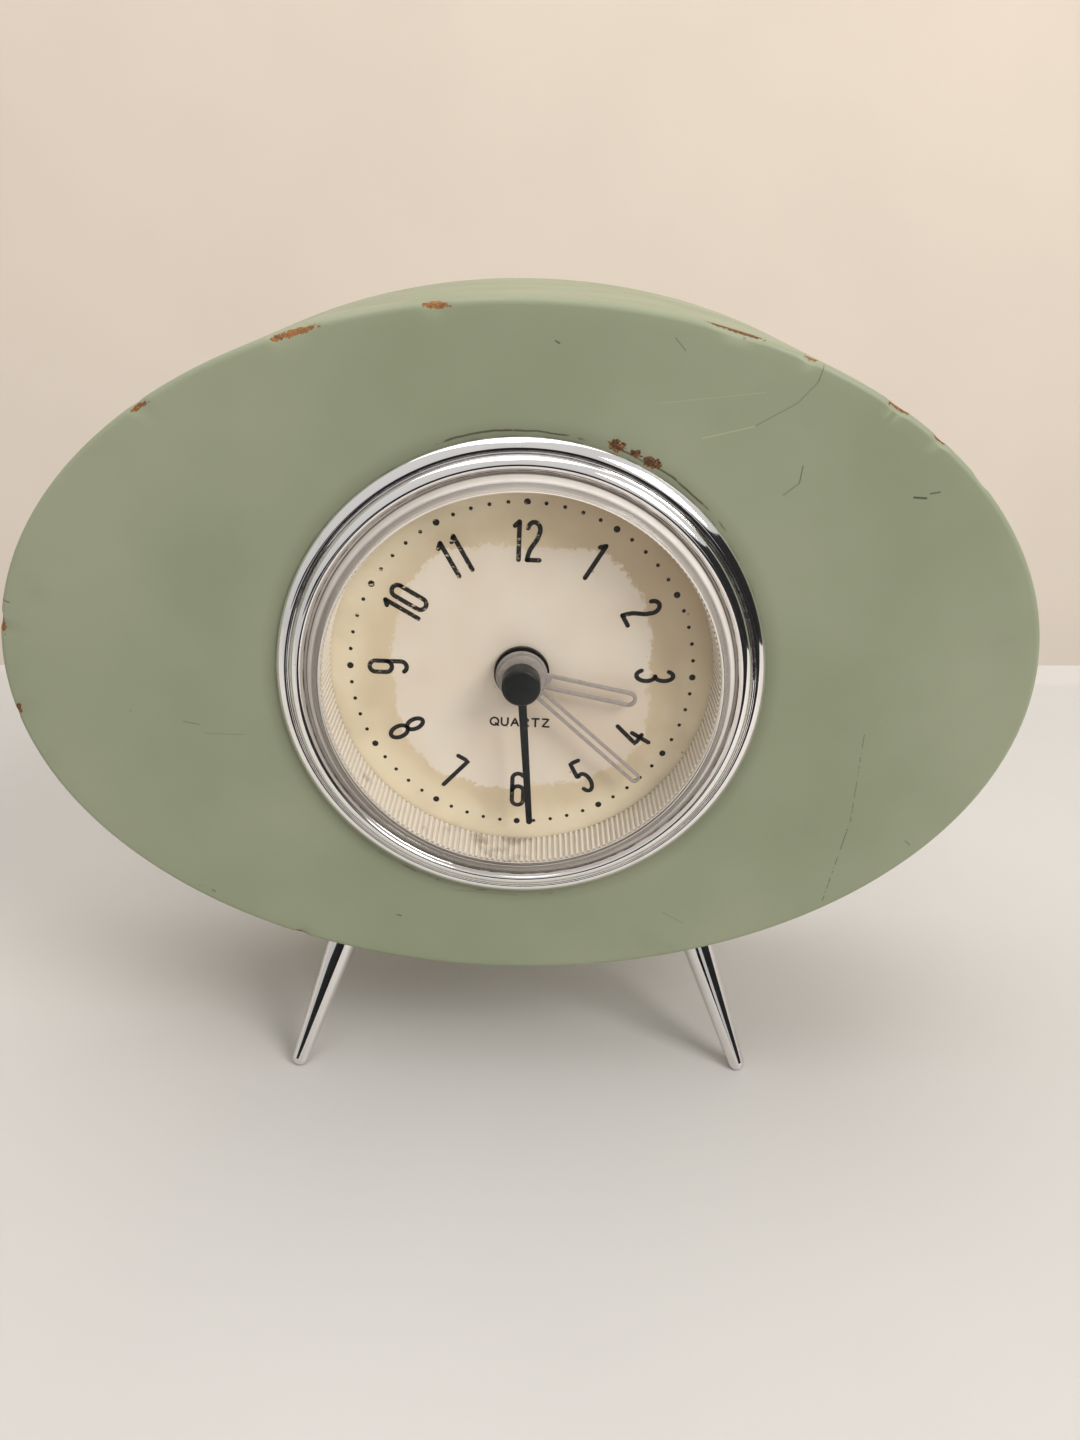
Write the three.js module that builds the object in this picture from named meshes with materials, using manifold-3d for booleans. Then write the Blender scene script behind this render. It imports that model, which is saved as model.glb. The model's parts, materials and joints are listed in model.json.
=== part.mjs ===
// Oval desk clock: a painted block on four splayed legs, holding a round quartz insert clock.
//
// Units are millimetres, +Z is up and the dial faces -Y. Everything is laid out in the block's own
// frame, whose origin is the middle of the block's front face, and the whole group is then set on
// its feet. Depths count backwards from the front face, so what stands in front has a negative y.
import * as THREE from "three";
import { mergeVertices } from "three/addons/utils/BufferGeometryUtils.js";
import Module from "manifold-3d";

const wasm = await Module();
wasm.setup();

// Clearances
const GAP = 0.3; // between pieces that rest on or sit inside each other
const RUNNING_GAP = 0.1; // between a turning piece and what it turns in

// Painted block
const BLOCK_WIDTH = 190.6;
const BLOCK_HEIGHT = 131.2;
const BLOCK_DEPTH = 64;
const BLOCK_EDGE_RADIUS = 1.2;
const BLOCK_SEGMENTS = 80;
const INSERT_DROP = 1.2; // dial centre below the block's centre
const INSERT_TURN = 1.4; // degrees clockwise that the insert sits turned in its hole

// Legs
const GROUND_CLEARANCE = 28.2; // from the block's lowest point to the table
const LEG_X = 36; // where a leg's axis meets the underside
const LEG_INSET = 16;
const FOOT_X = 48.15; // where a foot stands
const FOOT_INSET = 3;
const LEG_TOP_RADIUS = 3.5;
const LEG_TIP_RADIUS = 1.75;
const FOOT_FLAT = 0.3; // depth of the worn flat under each rounded tip
const LEG_TIP_STEPS = 4;
const LEG_SEAT_DEPTH = 4; // how far the leg's shoulder sits in the block
const LEG_STUD_RADIUS = 2;
const LEG_STUD_LENGTH = 12;
const LEG_BUSH_WALL = 1.1;
const LEG_BUSH_LENGTH = 11;

// Bezel, as bands from its outer edge inwards
const BEZEL_RADIUS = 45;
const BEZEL_EDGE = 0.4;
const BEZEL_OUTER_BAND = 2.15;
const BEZEL_OUTER_RISE = 1.35;
const BEZEL_STEP_BAND = 1.1;
const BEZEL_GROOVE = 0.3;
const BEZEL_INNER_BAND = 1.7;
const BEZEL_INNER_RISE = 1.1;
const BEZEL_LIP_BAND = 0.45;
const BEZEL_LIP_DROP = 1.1;
const BEZEL_LIP_EDGE = 0.2;
const SPIGOT_WALL = 0.7;
const SPIGOT_DEPTH = 7;

// Lens, reflector ring and dial
const LENS_HEIGHT = 4.7; // front of the lens before the block's face
const LENS_THICKNESS = 1.35;
const LENS_BEVEL = 3.8;
const LENS_FLANGE = 0.6; // how far the flange reaches under the bezel lip
const LENS_FLANGE_DEPTH = 2.4;
const LENS_SKIRT = 1.7;
const RING_WALL = 0.7;
const RING_INSET = 2.4; // from the lens's neck to the ring's outside
const DIAL_DEPTH = 6;
const DIAL_THICKNESS = 0.5;
const DIAL_HOLE_RADIUS = 4.5;

// Cup and its grip band
const CUP_WALL = 1.7;
const CUP_FLOOR = 1.7;
const CUP_DEPTH = 28;
const BAND_START = 9.5;
const BAND_WIDTH = 9;

// Movement box
const BOX_HALF = 28;
const BOX_CHAMFER = 3;
const BOX_WALL = 1.2;
const BAY_MARGIN = 1; // spare depth behind the battery
const PILLAR_X = 24;
const PILLAR_TOP_Z = 21.5;
const PILLAR_LOW_Z = -7.6;
const PILLAR_RADIUS = 1.7;
const PILLAR_BORE = 1;
const POST_RADIUS = 0.9;
const BEARING_PLATE = 1;
const PIVOT_RADIUS = 0.5;
const PIVOT_DEPTH = 0.6;
const SCREW_SHANK_RADIUS = 0.7;
const SCREW_HEAD_RADIUS = 1.8;
const SCREW_HEAD_HEIGHT = 0.9;
const SCREW_LENGTH = 6;

// Battery, size AA
const CELL_RADIUS = 7;
const CELL_LENGTH = 49.5;
const CELL_NUB_RADIUS = 2.7;
const CELL_NUB_LENGTH = 1;
const CELL_CLEARANCE = 0.9; // to the bay's floor
const CELL_WALL = 0.8;
const CONTACT_SHEET = 0.4;

// Nested shafts, from the middle outwards
const SECOND_SHAFT_RADIUS = 0.6;
const MINUTE_PIPE_WALL = 0.9;
const HOUR_PIPE_WALL = 0.9;
const BUSH_WALL = 1.3;
const NUT_WALL = 1.15;
const NUT_HEIGHT = 1;
const NUT_SLOT = 1.2;
const NUT_SLOT_DEPTH = 0.4;

// Gear train: tooth counts, centre distances and the directions of the arbors, clockwise from 12
const SECONDS_PINION = 6;
const THIRD_WHEEL = 45;
const THIRD_PINION = 6;
const CENTRE_WHEEL = 48;
const THIRD_CENTRES = 11;
const THIRD_DIRECTION = 285;
const SECONDS_WHEEL = 36;
const INTERMEDIATE_PINION = 6;
const INTERMEDIATE_DIRECTION = 0;
const INTERMEDIATE_WHEEL = 30;
const ROTOR_PINION = 6;
const ROTOR_CENTRES = 8;
const ROTOR_DIRECTION = 65;
const CANNON_PINION = 10;
const MOTION_WHEEL = 30;
const MOTION_PINION = 8;
const HOUR_WHEEL = 32;
const MOTION_CENTRES = 9;
const MOTION_DIRECTION = 60;
const SET_PINION = 10;
const SET_DIRECTION = 100;
const WHEEL_THICKNESS = 0.9;
const PINION_THICKNESS = 1.5;
const LAYER_PITCH = 2.1; // from one layer of wheels to the next
const LAYERS = 6;
const ADDENDUM = 0.75; // in modules, as are the next three
const DEDENDUM = 1.05;
const TIP_HALF_WIDTH = 0.3;
const ROOT_HALF_WIDTH = 0.62;
const ARBOR_RADIUS = 0.8;
const MOTION_POST_RADIUS = 0.7;
const ROTOR_RADIUS = 2.6;
const ROTOR_THICKNESS = 1.5;

// Setting knob
const KNOB_RADIUS = 5;
const KNOB_HEIGHT = 3.6;
const KNOB_RIBS = 18;
const KNOB_RIB_DEPTH = 0.4;
const KNOB_SHAFT_RADIUS = 1.3;

// Coil, stator and circuit board
const COIL_Z = 22.3;
const COIL_HALF_LENGTH = 10;
const COIL_RADIUS = 2;
const CORE_WIDTH = 2.4;
const CORE_THICKNESS = 0.9;
const STATOR_THICKNESS = 1;
const STATOR_ARM = 4.5;
const BOARD_WIDTH = 8.5;
const BOARD_HEIGHT = 13;
const BOARD_THICKNESS = 0.8;
const CRYSTAL_RADIUS = 1;
const CRYSTAL_LENGTH = 6;

// Hands and the time they show
const HOUR_HAND_LENGTH = 22.4;
const HOUR_HAND_WIDTH = 3.2;
const HOUR_HAND_SLOT = 1.7;
const HOUR_HAND_BOSS = 4.9;
const HOUR_HAND_DEPTH = 4;
const MINUTE_HAND_LENGTH = 31.2;
const MINUTE_HAND_WIDTH = 2.15;
const MINUTE_HAND_SLOT = 0.95;
const MINUTE_HAND_BOSS = 4.45;
const MINUTE_HAND_DEPTH = 2.7;
const SECOND_HAND_LENGTH = 29.8;
const SECOND_HAND_ROOT = 1.65;
const SECOND_HAND_TIP = 1.2;
const SECOND_HAND_DEPTH = 0.4;
const SECOND_HUB_RADIUS = 3.6;
const SECOND_HUB_FRONT = -2.7;
const SECOND_HUB_BACK = 0.9;
const HAND_THICKNESS = 0.6;
const SHOWN_HOUR = 3;
const SHOWN_MINUTE = 21.9;
const SHOWN_SECOND = 29.2;

// Places that follow from the sizes above
const LIP_RADIUS = BEZEL_RADIUS - BEZEL_OUTER_BAND - BEZEL_STEP_BAND - BEZEL_INNER_BAND - BEZEL_LIP_BAND;
const LENS_NECK_RADIUS = LIP_RADIUS - GAP;
const LENS_RADIUS = LENS_NECK_RADIUS + LENS_FLANGE;
const SPIGOT_INNER_RADIUS = LENS_RADIUS + GAP;
const SPIGOT_RADIUS = SPIGOT_INNER_RADIUS + SPIGOT_WALL;
const HOLE_RADIUS = SPIGOT_RADIUS + GAP;
const BEZEL_PEAK = -BEZEL_EDGE - GAP - BEZEL_OUTER_RISE - BEZEL_INNER_RISE;
const LIP_FRONT = BEZEL_PEAK + BEZEL_LIP_DROP;
const FLANGE_FRONT = LIP_FRONT + BEZEL_LIP_EDGE + GAP;
const FLANGE_BACK = FLANGE_FRONT + LENS_FLANGE_DEPTH;
const LENS_FRONT = -LENS_HEIGHT;
const LENS_BACK = LENS_FRONT + LENS_THICKNESS;
const RING_RADIUS = LENS_NECK_RADIUS - RING_INSET;
const CUP_RADIUS = LENS_RADIUS;
const CUP_BORE = CUP_RADIUS - CUP_WALL;
const CUP_FRONT = FLANGE_BACK + GAP;
const FLOOR_FRONT = DIAL_DEPTH + DIAL_THICKNESS + GAP;
const FLOOR_BACK = FLOOR_FRONT + CUP_FLOOR;
const BOX_FRONT = FLOOR_BACK + GAP;
const WHEEL_STACK = PINION_THICKNESS / 2 + (LAYERS - 1) * LAYER_PITCH + WHEEL_THICKNESS / 2;
const GEAR_DEPTH = 2 * BOX_WALL + 4 * GAP + WHEEL_STACK + ROTOR_THICKNESS + BEARING_PLATE;
const CELL_DEPTH_NEEDED = 2 * (BOX_WALL + CELL_RADIUS + GAP) + BAY_MARGIN;
const BOX_DEPTH = Math.max(GEAR_DEPTH, CELL_DEPTH_NEEDED);
const BOX_INSIDE = BOX_FRONT + BOX_WALL;
const BOX_BACK = BOX_FRONT + BOX_DEPTH - BOX_WALL;
const PLATE_BACK = BOX_BACK - GAP;
const PLATE_FRONT = PLATE_BACK - BEARING_PLATE;
const BOX_INNER_HALF = BOX_HALF - BOX_WALL;
const CELL_Z = -BOX_INNER_HALF + CELL_CLEARANCE + CELL_RADIUS;
const CELL_TOP = CELL_Z + CELL_RADIUS + GAP;
const CELL_DEPTH = BOX_INSIDE + GAP + CELL_RADIUS;
const MINUTE_PIPE_BORE = SECOND_SHAFT_RADIUS + RUNNING_GAP;
const MINUTE_PIPE_RADIUS = MINUTE_PIPE_BORE + MINUTE_PIPE_WALL;
const HOUR_PIPE_BORE = MINUTE_PIPE_RADIUS + RUNNING_GAP;
const HOUR_PIPE_RADIUS = HOUR_PIPE_BORE + HOUR_PIPE_WALL;
const BUSH_BORE = HOUR_PIPE_RADIUS + RUNNING_GAP;
const BUSH_RADIUS = BUSH_BORE + BUSH_WALL;
const NUT_RADIUS = BUSH_RADIUS + RUNNING_GAP + NUT_WALL;
const SMALL = 20;
const ROUND = 48;

// The layers of wheels, each given by the middle of its teeth
const HOUR_LAYER = BOX_INSIDE + GAP + PINION_THICKNESS / 2;
const CANNON_LAYER = HOUR_LAYER + LAYER_PITCH;
const CENTRE_LAYER = CANNON_LAYER + LAYER_PITCH;
const THIRD_LAYER = CENTRE_LAYER + LAYER_PITCH;
const SECONDS_LAYER = THIRD_LAYER + LAYER_PITCH;
const ROTOR_LAYER = SECONDS_LAYER + LAYER_PITCH;
const ARBOR_BACK = PLATE_FRONT - GAP;
const MAGNET_LAYER = ARBOR_BACK - ROTOR_THICKNESS / 2;

// A place at a distance from another, in a direction counted clockwise from 12 o'clock
function offset(from, distance, degrees) {
  const a = THREE.MathUtils.degToRad(degrees);
  return { x: from.x + distance * Math.sin(a), z: from.z + distance * Math.cos(a) };
}

function moduleOf(centres, teethA, teethB) {
  return (2 * centres) / (teethA + teethB);
}

// The intermediate arbor's post stands just clear of the centre wheel's teeth.
const CENTRE_WHEEL_TIP = moduleOf(THIRD_CENTRES, THIRD_PINION, CENTRE_WHEEL) * (CENTRE_WHEEL / 2 + ADDENDUM);
const INTERMEDIATE_CENTRES = CENTRE_WHEEL_TIP + GAP + POST_RADIUS;

const CENTRE = { x: 0, z: 0 };
const THIRD = offset(CENTRE, THIRD_CENTRES, THIRD_DIRECTION);
const INTERMEDIATE = offset(CENTRE, INTERMEDIATE_CENTRES, INTERMEDIATE_DIRECTION);
const ROTOR = offset(INTERMEDIATE, ROTOR_CENTRES, ROTOR_DIRECTION);
const MOTION = offset(CENTRE, MOTION_CENTRES, MOTION_DIRECTION);
const SET_MODULE = (2 * MOTION_CENTRES) / (CANNON_PINION + MOTION_WHEEL);
const SET_KNOB = offset(MOTION, (SET_MODULE * (MOTION_WHEEL + SET_PINION)) / 2, SET_DIRECTION);

// ---------------------------------------------------------------- finishes

function finish(color, roughness, metalness, opacity = 1) {
  return new THREE.MeshStandardMaterial({
    color,
    roughness,
    metalness,
    opacity,
    transparent: opacity < 1,
  });
}

const FINISHES = {
  paint: () => finish("#8b917a", 0.5, 0),
  chrome: () => finish("#d8d8da", 0.08, 1),
  clear: () => finish("#f4f3ee", 0.05, 0, 0.3),
  frosted: () => finish("#e6dfcd", 0.35, 0, 0.9),
  dial: () => finish("#d4c5a8", 0.6, 0),
  blackPlastic: () => finish("#1c1c1d", 0.4, 0),
  whitePlastic: () => finish("#e9e7e0", 0.4, 0),
  rubber: () => finish("#26251f", 0.9, 0),
  brass: () => finish("#b9975a", 0.3, 1),
  steel: () => finish("#a9abad", 0.3, 1),
  copper: () => finish("#b0673a", 0.35, 0.8),
  board: () => finish("#2f6b3f", 0.5, 0),
  cell: () => finish("#3d4a58", 0.35, 0.2),
  magnet: () => finish("#4a4a4c", 0.5, 0.6),
  silverHand: () => finish("#c9c9c6", 0.25, 0.9),
  blackHand: () => finish("#17171a", 0.35, 0),
};

function piece(name, geometry, finishName) {
  const mesh = new THREE.Mesh(geometry, FINISHES[finishName]());
  mesh.name = name;
  return mesh;
}

// ---------------------------------------------------------------- shape helpers

// Turns a closed geometry into a solid that can be joined and cut.
function solid(geometry) {
  const flat = geometry.index ? geometry.toNonIndexed() : geometry;
  const bare = new THREE.BufferGeometry();
  bare.setAttribute("position", flat.getAttribute("position"));
  const merged = mergeVertices(bare, 1e-4);
  return new wasm.Manifold(
    new wasm.Mesh({
      numProp: 3,
      vertProperties: new Float32Array(merged.attributes.position.array),
      triVerts: new Uint32Array(merged.index.array),
    }),
  );
}

function geometryOf(manifold) {
  const mesh = manifold.getMesh();
  const geometry = new THREE.BufferGeometry();
  geometry.setAttribute("position", new THREE.BufferAttribute(mesh.vertProperties, 3));
  geometry.setIndex(new THREE.BufferAttribute(mesh.triVerts, 1));
  const faceted = geometry.toNonIndexed();
  faceted.computeVertexNormals();
  return faceted;
}

function cut(geometry, ...tools) {
  return geometryOf(tools.reduce((body, tool) => body.subtract(solid(tool)), solid(geometry)));
}

function join(geometry, ...others) {
  return geometryOf(others.reduce((body, other) => body.add(solid(other)), solid(geometry)));
}

// A plate whose outline is drawn in x and z, from depth y0 back to depth y1.
function plate(shape, y0, y1) {
  const geometry = new THREE.ExtrudeGeometry(shape, { depth: y1 - y0, bevelEnabled: false, curveSegments: 12 });
  geometry.rotateX(Math.PI / 2);
  geometry.translate(0, y1, 0);
  return geometry;
}

// A turned piece about the y axis. Each profile point is [radius, y]; its direction is put right here.
function turned(profile, segments = ROUND) {
  let area = 0;
  profile.forEach(([r, y], i) => {
    const [r2, y2] = profile[(i + 1) % profile.length];
    area += r * y2 - r2 * y;
  });
  const points = profile.map(([r, y]) => new THREE.Vector2(r, y));
  if (area < 0) points.reverse();
  const onAxis = points.findIndex((p) => p.x === 0);
  if (onAxis < 0) {
    points.push(points[0].clone());
  } else {
    while (!(points[0].x === 0 && points[points.length - 1].x === 0)) points.push(points.shift());
  }
  return new THREE.LatheGeometry(points, segments);
}

function tube(innerRadius, outerRadius, y0, y1, segments = ROUND) {
  return turned([[innerRadius, y0], [outerRadius, y0], [outerRadius, y1], [innerRadius, y1]], segments);
}

function rod(radius, y0, y1, segments = SMALL) {
  return turned([[0, y0], [radius, y0], [radius, y1], [0, y1]], segments);
}

function box(x0, x1, y0, y1, z0, z1) {
  const geometry = new THREE.BoxGeometry(x1 - x0, y1 - y0, z1 - z0);
  geometry.translate((x0 + x1) / 2, (y0 + y1) / 2, (z0 + z1) / 2);
  return geometry;
}

function at(geometry, place) {
  geometry.translate(place.x, 0, place.z);
  return geometry;
}

function outline(points) {
  return new THREE.Shape(points.map(([x, z]) => new THREE.Vector2(x, z)));
}

function chamferedSquare(half, chamfer) {
  const c = half - chamfer;
  return outline([[c, -half], [half, -c], [half, c], [c, half], [-c, half], [-half, c], [-half, -c], [-c, -half]]);
}

// ---------------------------------------------------------------- block and legs

const HALF_WIDTH = BLOCK_WIDTH / 2;
const HALF_HEIGHT = BLOCK_HEIGHT / 2;
const FLOOR_Z = -HALF_HEIGHT - GROUND_CLEARANCE;

function underside(x) {
  return -HALF_HEIGHT * Math.sqrt(1 - (x / HALF_WIDTH) ** 2);
}

// Each leg's place: sideways and front-to-back sign, and the two ends of its axis.
function legPlaces() {
  const places = [];
  for (const [row, inset, footInset] of [
    ["front", LEG_INSET, FOOT_INSET],
    ["rear", BLOCK_DEPTH - LEG_INSET, BLOCK_DEPTH - FOOT_INSET],
  ]) {
    for (const [side, sign] of [["left", -1], ["right", 1]]) {
      places.push({
        name: `${row}_${side}`,
        top: new THREE.Vector3(sign * LEG_X, inset, underside(LEG_X)),
        tip: new THREE.Vector3(sign * FOOT_X, footInset, FLOOR_Z + LEG_TIP_RADIUS - FOOT_FLAT),
      });
    }
  }
  return places;
}

// A leg's own frame: its origin where the axis meets the underside, +Z up into the block.
function legFrame(place) {
  const frame = new THREE.Group();
  frame.position.copy(place.top);
  const up = place.top.clone().sub(place.tip).normalize();
  frame.quaternion.setFromUnitVectors(new THREE.Vector3(0, 0, 1), up);
  frame.updateMatrix();
  return frame;
}

// Turns a piece made about y so that it stands along z.
function upright(geometry) {
  geometry.rotateX(Math.PI / 2);
  return geometry;
}

function legSocket(frame) {
  const seat = LEG_TOP_RADIUS + GAP;
  const bore = LEG_STUD_RADIUS + LEG_BUSH_WALL + 2 * GAP;
  const seatTop = LEG_SEAT_DEPTH + GAP;
  const boreTop = seatTop + LEG_STUD_LENGTH + GAP;
  const below = -3 * LEG_TOP_RADIUS;
  const profile = [[0, below], [seat, below], [seat, seatTop], [bore, seatTop], [bore, boreTop], [0, boreTop]];
  const socket = upright(turned(profile, 16));
  socket.applyMatrix4(frame.matrix);
  return socket;
}

function blockGeometry(frames) {
  const r = BLOCK_EDGE_RADIUS;
  const rim = [];
  for (let i = 0; i < BLOCK_SEGMENTS; i++) {
    const a = (2 * Math.PI * i) / BLOCK_SEGMENTS;
    rim.push([HALF_WIDTH * Math.cos(a), HALF_HEIGHT * Math.sin(a)]);
  }
  const block = new THREE.ExtrudeGeometry(outline(rim), {
    depth: BLOCK_DEPTH - 2 * r,
    bevelEnabled: true,
    bevelThickness: r,
    bevelSize: r,
    bevelOffset: -r,
    bevelSegments: 2,
  });
  block.rotateX(Math.PI / 2);
  block.translate(0, BLOCK_DEPTH - r, 0);
  const hole = rod(HOLE_RADIUS, -1, BLOCK_DEPTH + 1, ROUND);
  hole.translate(0, 0, -INSERT_DROP);
  return cut(block, hole, ...frames.map(legSocket));
}

function legGeometry(frame, length) {
  const profile = [];
  for (let i = 0; i <= LEG_TIP_STEPS; i++) {
    const a = (i / LEG_TIP_STEPS) * (Math.PI / 2);
    profile.push([LEG_TIP_RADIUS * Math.sin(a), -length - LEG_TIP_RADIUS * Math.cos(a)]);
  }
  profile[0][0] = 0;
  profile.push([LEG_TOP_RADIUS, 0], [LEG_TOP_RADIUS, LEG_SEAT_DEPTH], [LEG_STUD_RADIUS, LEG_SEAT_DEPTH]);
  profile.push([LEG_STUD_RADIUS, LEG_SEAT_DEPTH + LEG_STUD_LENGTH], [0, LEG_SEAT_DEPTH + LEG_STUD_LENGTH]);
  const reach = BLOCK_WIDTH;
  const ground = box(-reach, reach, -reach, reach, FLOOR_Z - reach, FLOOR_Z);
  ground.applyMatrix4(frame.matrix.clone().invert());
  return cut(upright(turned(profile, 16)), ground);
}

function legBushGeometry() {
  const start = LEG_SEAT_DEPTH + 2 * GAP;
  const inner = LEG_STUD_RADIUS + GAP;
  return upright(tube(inner, inner + LEG_BUSH_WALL, start, start + LEG_BUSH_LENGTH, 16));
}

function addBlockAndLegs(clock) {
  const places = legPlaces();
  const frames = places.map(legFrame);
  clock.add(piece("body_block", blockGeometry(frames), "paint"));
  places.forEach((place, i) => {
    const frame = frames[i];
    const length = place.top.distanceTo(place.tip);
    frame.add(piece(`leg_${place.name}`, legGeometry(frame, length), "chrome"));
    frame.add(piece(`leg_bush_${place.name}`, legBushGeometry(), "brass"));
    clock.add(frame);
  });
}

// ---------------------------------------------------------------- case of the insert

function bezelGeometry() {
  const back = -GAP;
  const edge = back - BEZEL_EDGE;
  const outer = BEZEL_RADIUS;
  const step = outer - BEZEL_OUTER_BAND;
  const inner = step - BEZEL_STEP_BAND;
  const peak = inner - BEZEL_INNER_BAND;
  const stepY = edge - BEZEL_OUTER_RISE;
  return turned([
    [outer, back],
    [outer, edge],
    [outer - BEZEL_OUTER_BAND * 0.4, edge - BEZEL_OUTER_RISE * 0.55],
    [step, stepY],
    [step - BEZEL_GROOVE, stepY + BEZEL_GROOVE],
    [step - 2 * BEZEL_GROOVE, stepY],
    [inner, stepY - BEZEL_GROOVE],
    [inner - BEZEL_INNER_BAND * 0.5, BEZEL_PEAK + BEZEL_INNER_RISE * 0.25],
    [peak, BEZEL_PEAK],
    [LIP_RADIUS, LIP_FRONT],
    [LIP_RADIUS, LIP_FRONT + BEZEL_LIP_EDGE],
    [SPIGOT_INNER_RADIUS, LIP_FRONT + BEZEL_LIP_EDGE],
    [SPIGOT_INNER_RADIUS, SPIGOT_DEPTH],
    [SPIGOT_RADIUS, SPIGOT_DEPTH],
    [SPIGOT_RADIUS, back],
  ]);
}

function lensGeometry() {
  const flat = LENS_NECK_RADIUS - LENS_BEVEL;
  const drop = FLANGE_FRONT - LENS_FRONT;
  const skirt = LENS_RADIUS - LENS_SKIRT;
  return turned([
    [0, LENS_FRONT],
    [flat, LENS_FRONT],
    [flat + LENS_BEVEL * 0.6, LENS_FRONT + drop * 0.35],
    [LENS_NECK_RADIUS, FLANGE_FRONT - BEZEL_LIP_EDGE],
    [LENS_NECK_RADIUS, FLANGE_FRONT],
    [LENS_RADIUS, FLANGE_FRONT],
    [LENS_RADIUS, FLANGE_BACK],
    [skirt, FLANGE_BACK],
    [skirt, FLANGE_FRONT],
    [RING_RADIUS + GAP / 2, LENS_BACK],
    [0, LENS_BACK],
  ]);
}

function addInsertCase(insert) {
  const ringInner = RING_RADIUS - RING_WALL;
  const bore = BUSH_RADIUS + GAP;
  insert.add(piece("bezel", bezelGeometry(), "chrome"));
  insert.add(piece("lens", lensGeometry(), "clear"));
  const ring = tube(ringInner, RING_RADIUS, LENS_BACK + GAP, DIAL_DEPTH - GAP);
  insert.add(piece("reflector_ring", ring, "frosted"));
  const dial = tube(DIAL_HOLE_RADIUS, CUP_BORE - GAP, DIAL_DEPTH, DIAL_DEPTH + DIAL_THICKNESS);
  insert.add(piece("dial_plate", dial, "dial"));
  const cup = turned([
    [bore, FLOOR_FRONT],
    [CUP_BORE, FLOOR_FRONT],
    [CUP_BORE, CUP_FRONT],
    [CUP_RADIUS, CUP_FRONT],
    [CUP_RADIUS, CUP_DEPTH],
    [CUP_BORE, CUP_DEPTH],
    [CUP_BORE, FLOOR_BACK],
    [bore, FLOOR_BACK],
  ]);
  insert.add(piece("insert_cup", cup, "blackPlastic"));
  const band = tube(CUP_RADIUS + GAP, HOLE_RADIUS - GAP / 2, BAND_START, BAND_START + BAND_WIDTH);
  insert.add(piece("grip_band", band, "rubber"));
}

// ---------------------------------------------------------------- movement box

function pillarPlaces() {
  return [
    { x: -PILLAR_X, z: PILLAR_TOP_Z },
    { x: PILLAR_X, z: PILLAR_TOP_Z },
    { x: -PILLAR_X, z: PILLAR_LOW_Z },
    { x: PILLAR_X, z: PILLAR_LOW_Z },
  ];
}

// A post on the front wall that carries an arbor's front pivot.
function pivotPost(place, height) {
  return at(rod(POST_RADIUS, BOX_INSIDE - 0.5, height, 12), place);
}

function pivotHole(place, mouth) {
  return at(rod(PIVOT_RADIUS + RUNNING_GAP, mouth - PIVOT_DEPTH - RUNNING_GAP, mouth + 1, 12), place);
}

function movementCaseGeometry() {
  const shell = plate(chamferedSquare(BOX_HALF, BOX_CHAMFER), BOX_FRONT, BOX_BACK);
  const inside = chamferedSquare(BOX_INNER_HALF, BOX_CHAMFER * 0.8);
  const hollow = plate(inside, BOX_INSIDE, BOX_BACK + 1);
  const bushHole = rod(BUSH_RADIUS + GAP, BOX_FRONT - 1, BOX_INSIDE + 1, SMALL);
  const walls = cut(shell, hollow, bushHole);
  const half = BOX_INNER_HALF + 0.5;
  const divider = box(-half, half, BOX_INSIDE - 0.5, BOX_BACK, CELL_TOP, CELL_TOP + CELL_WALL);
  const pillars = pillarPlaces().map((p) => at(rod(PILLAR_RADIUS, BOX_INSIDE - 0.5, PLATE_FRONT - GAP, 12), p));
  const posts = [
    pivotPost(INTERMEDIATE, SECONDS_LAYER - PINION_THICKNESS / 2 - GAP),
    pivotPost(ROTOR, ROTOR_LAYER - PINION_THICKNESS / 2 - GAP),
    pivotPost(THIRD, CENTRE_LAYER - PINION_THICKNESS / 2 - GAP),
    pivotPost(SET_KNOB, CANNON_LAYER - PINION_THICKNESS / 2 - GAP),
    at(rod(MOTION_POST_RADIUS, BOX_INSIDE - 0.5, CANNON_LAYER + WHEEL_THICKNESS / 2, 12), MOTION),
  ];
  const bores = pillarPlaces().map((p) => {
    return at(rod(PILLAR_BORE, PLATE_FRONT - GAP - SCREW_LENGTH, PLATE_FRONT + 1, 12), p);
  });
  const sockets = [
    pivotHole(INTERMEDIATE, SECONDS_LAYER - PINION_THICKNESS / 2 - GAP),
    pivotHole(ROTOR, ROTOR_LAYER - PINION_THICKNESS / 2 - GAP),
    pivotHole(THIRD, CENTRE_LAYER - PINION_THICKNESS / 2 - GAP),
    pivotHole(SET_KNOB, CANNON_LAYER - PINION_THICKNESS / 2 - GAP),
  ];
  return cut(join(walls, divider, ...pillars, ...posts), ...bores, ...sockets);
}

function upperPlate(half, y0, y1, low) {
  const c = half - BOX_CHAMFER;
  return plate(outline([[-half, low], [half, low], [half, c], [c, half], [-c, half], [-half, c]]), y0, y1);
}

function bearingPlateGeometry() {
  const low = CELL_TOP + CELL_WALL + GAP;
  const blank = upperPlate(BOX_INNER_HALF - GAP, PLATE_FRONT, PLATE_BACK, low);
  const through = (radius, p) => at(rod(radius, PLATE_FRONT - 1, PLATE_BACK + 1, 12), p);
  const arbors = [CENTRE, THIRD, INTERMEDIATE, ROTOR].map((p) => through(PIVOT_RADIUS + RUNNING_GAP, p));
  const knob = through(KNOB_SHAFT_RADIUS + RUNNING_GAP, SET_KNOB);
  return cut(blank, ...arbors, knob, ...pillarPlaces().map((p) => through(PILLAR_BORE, p)));
}

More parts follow.
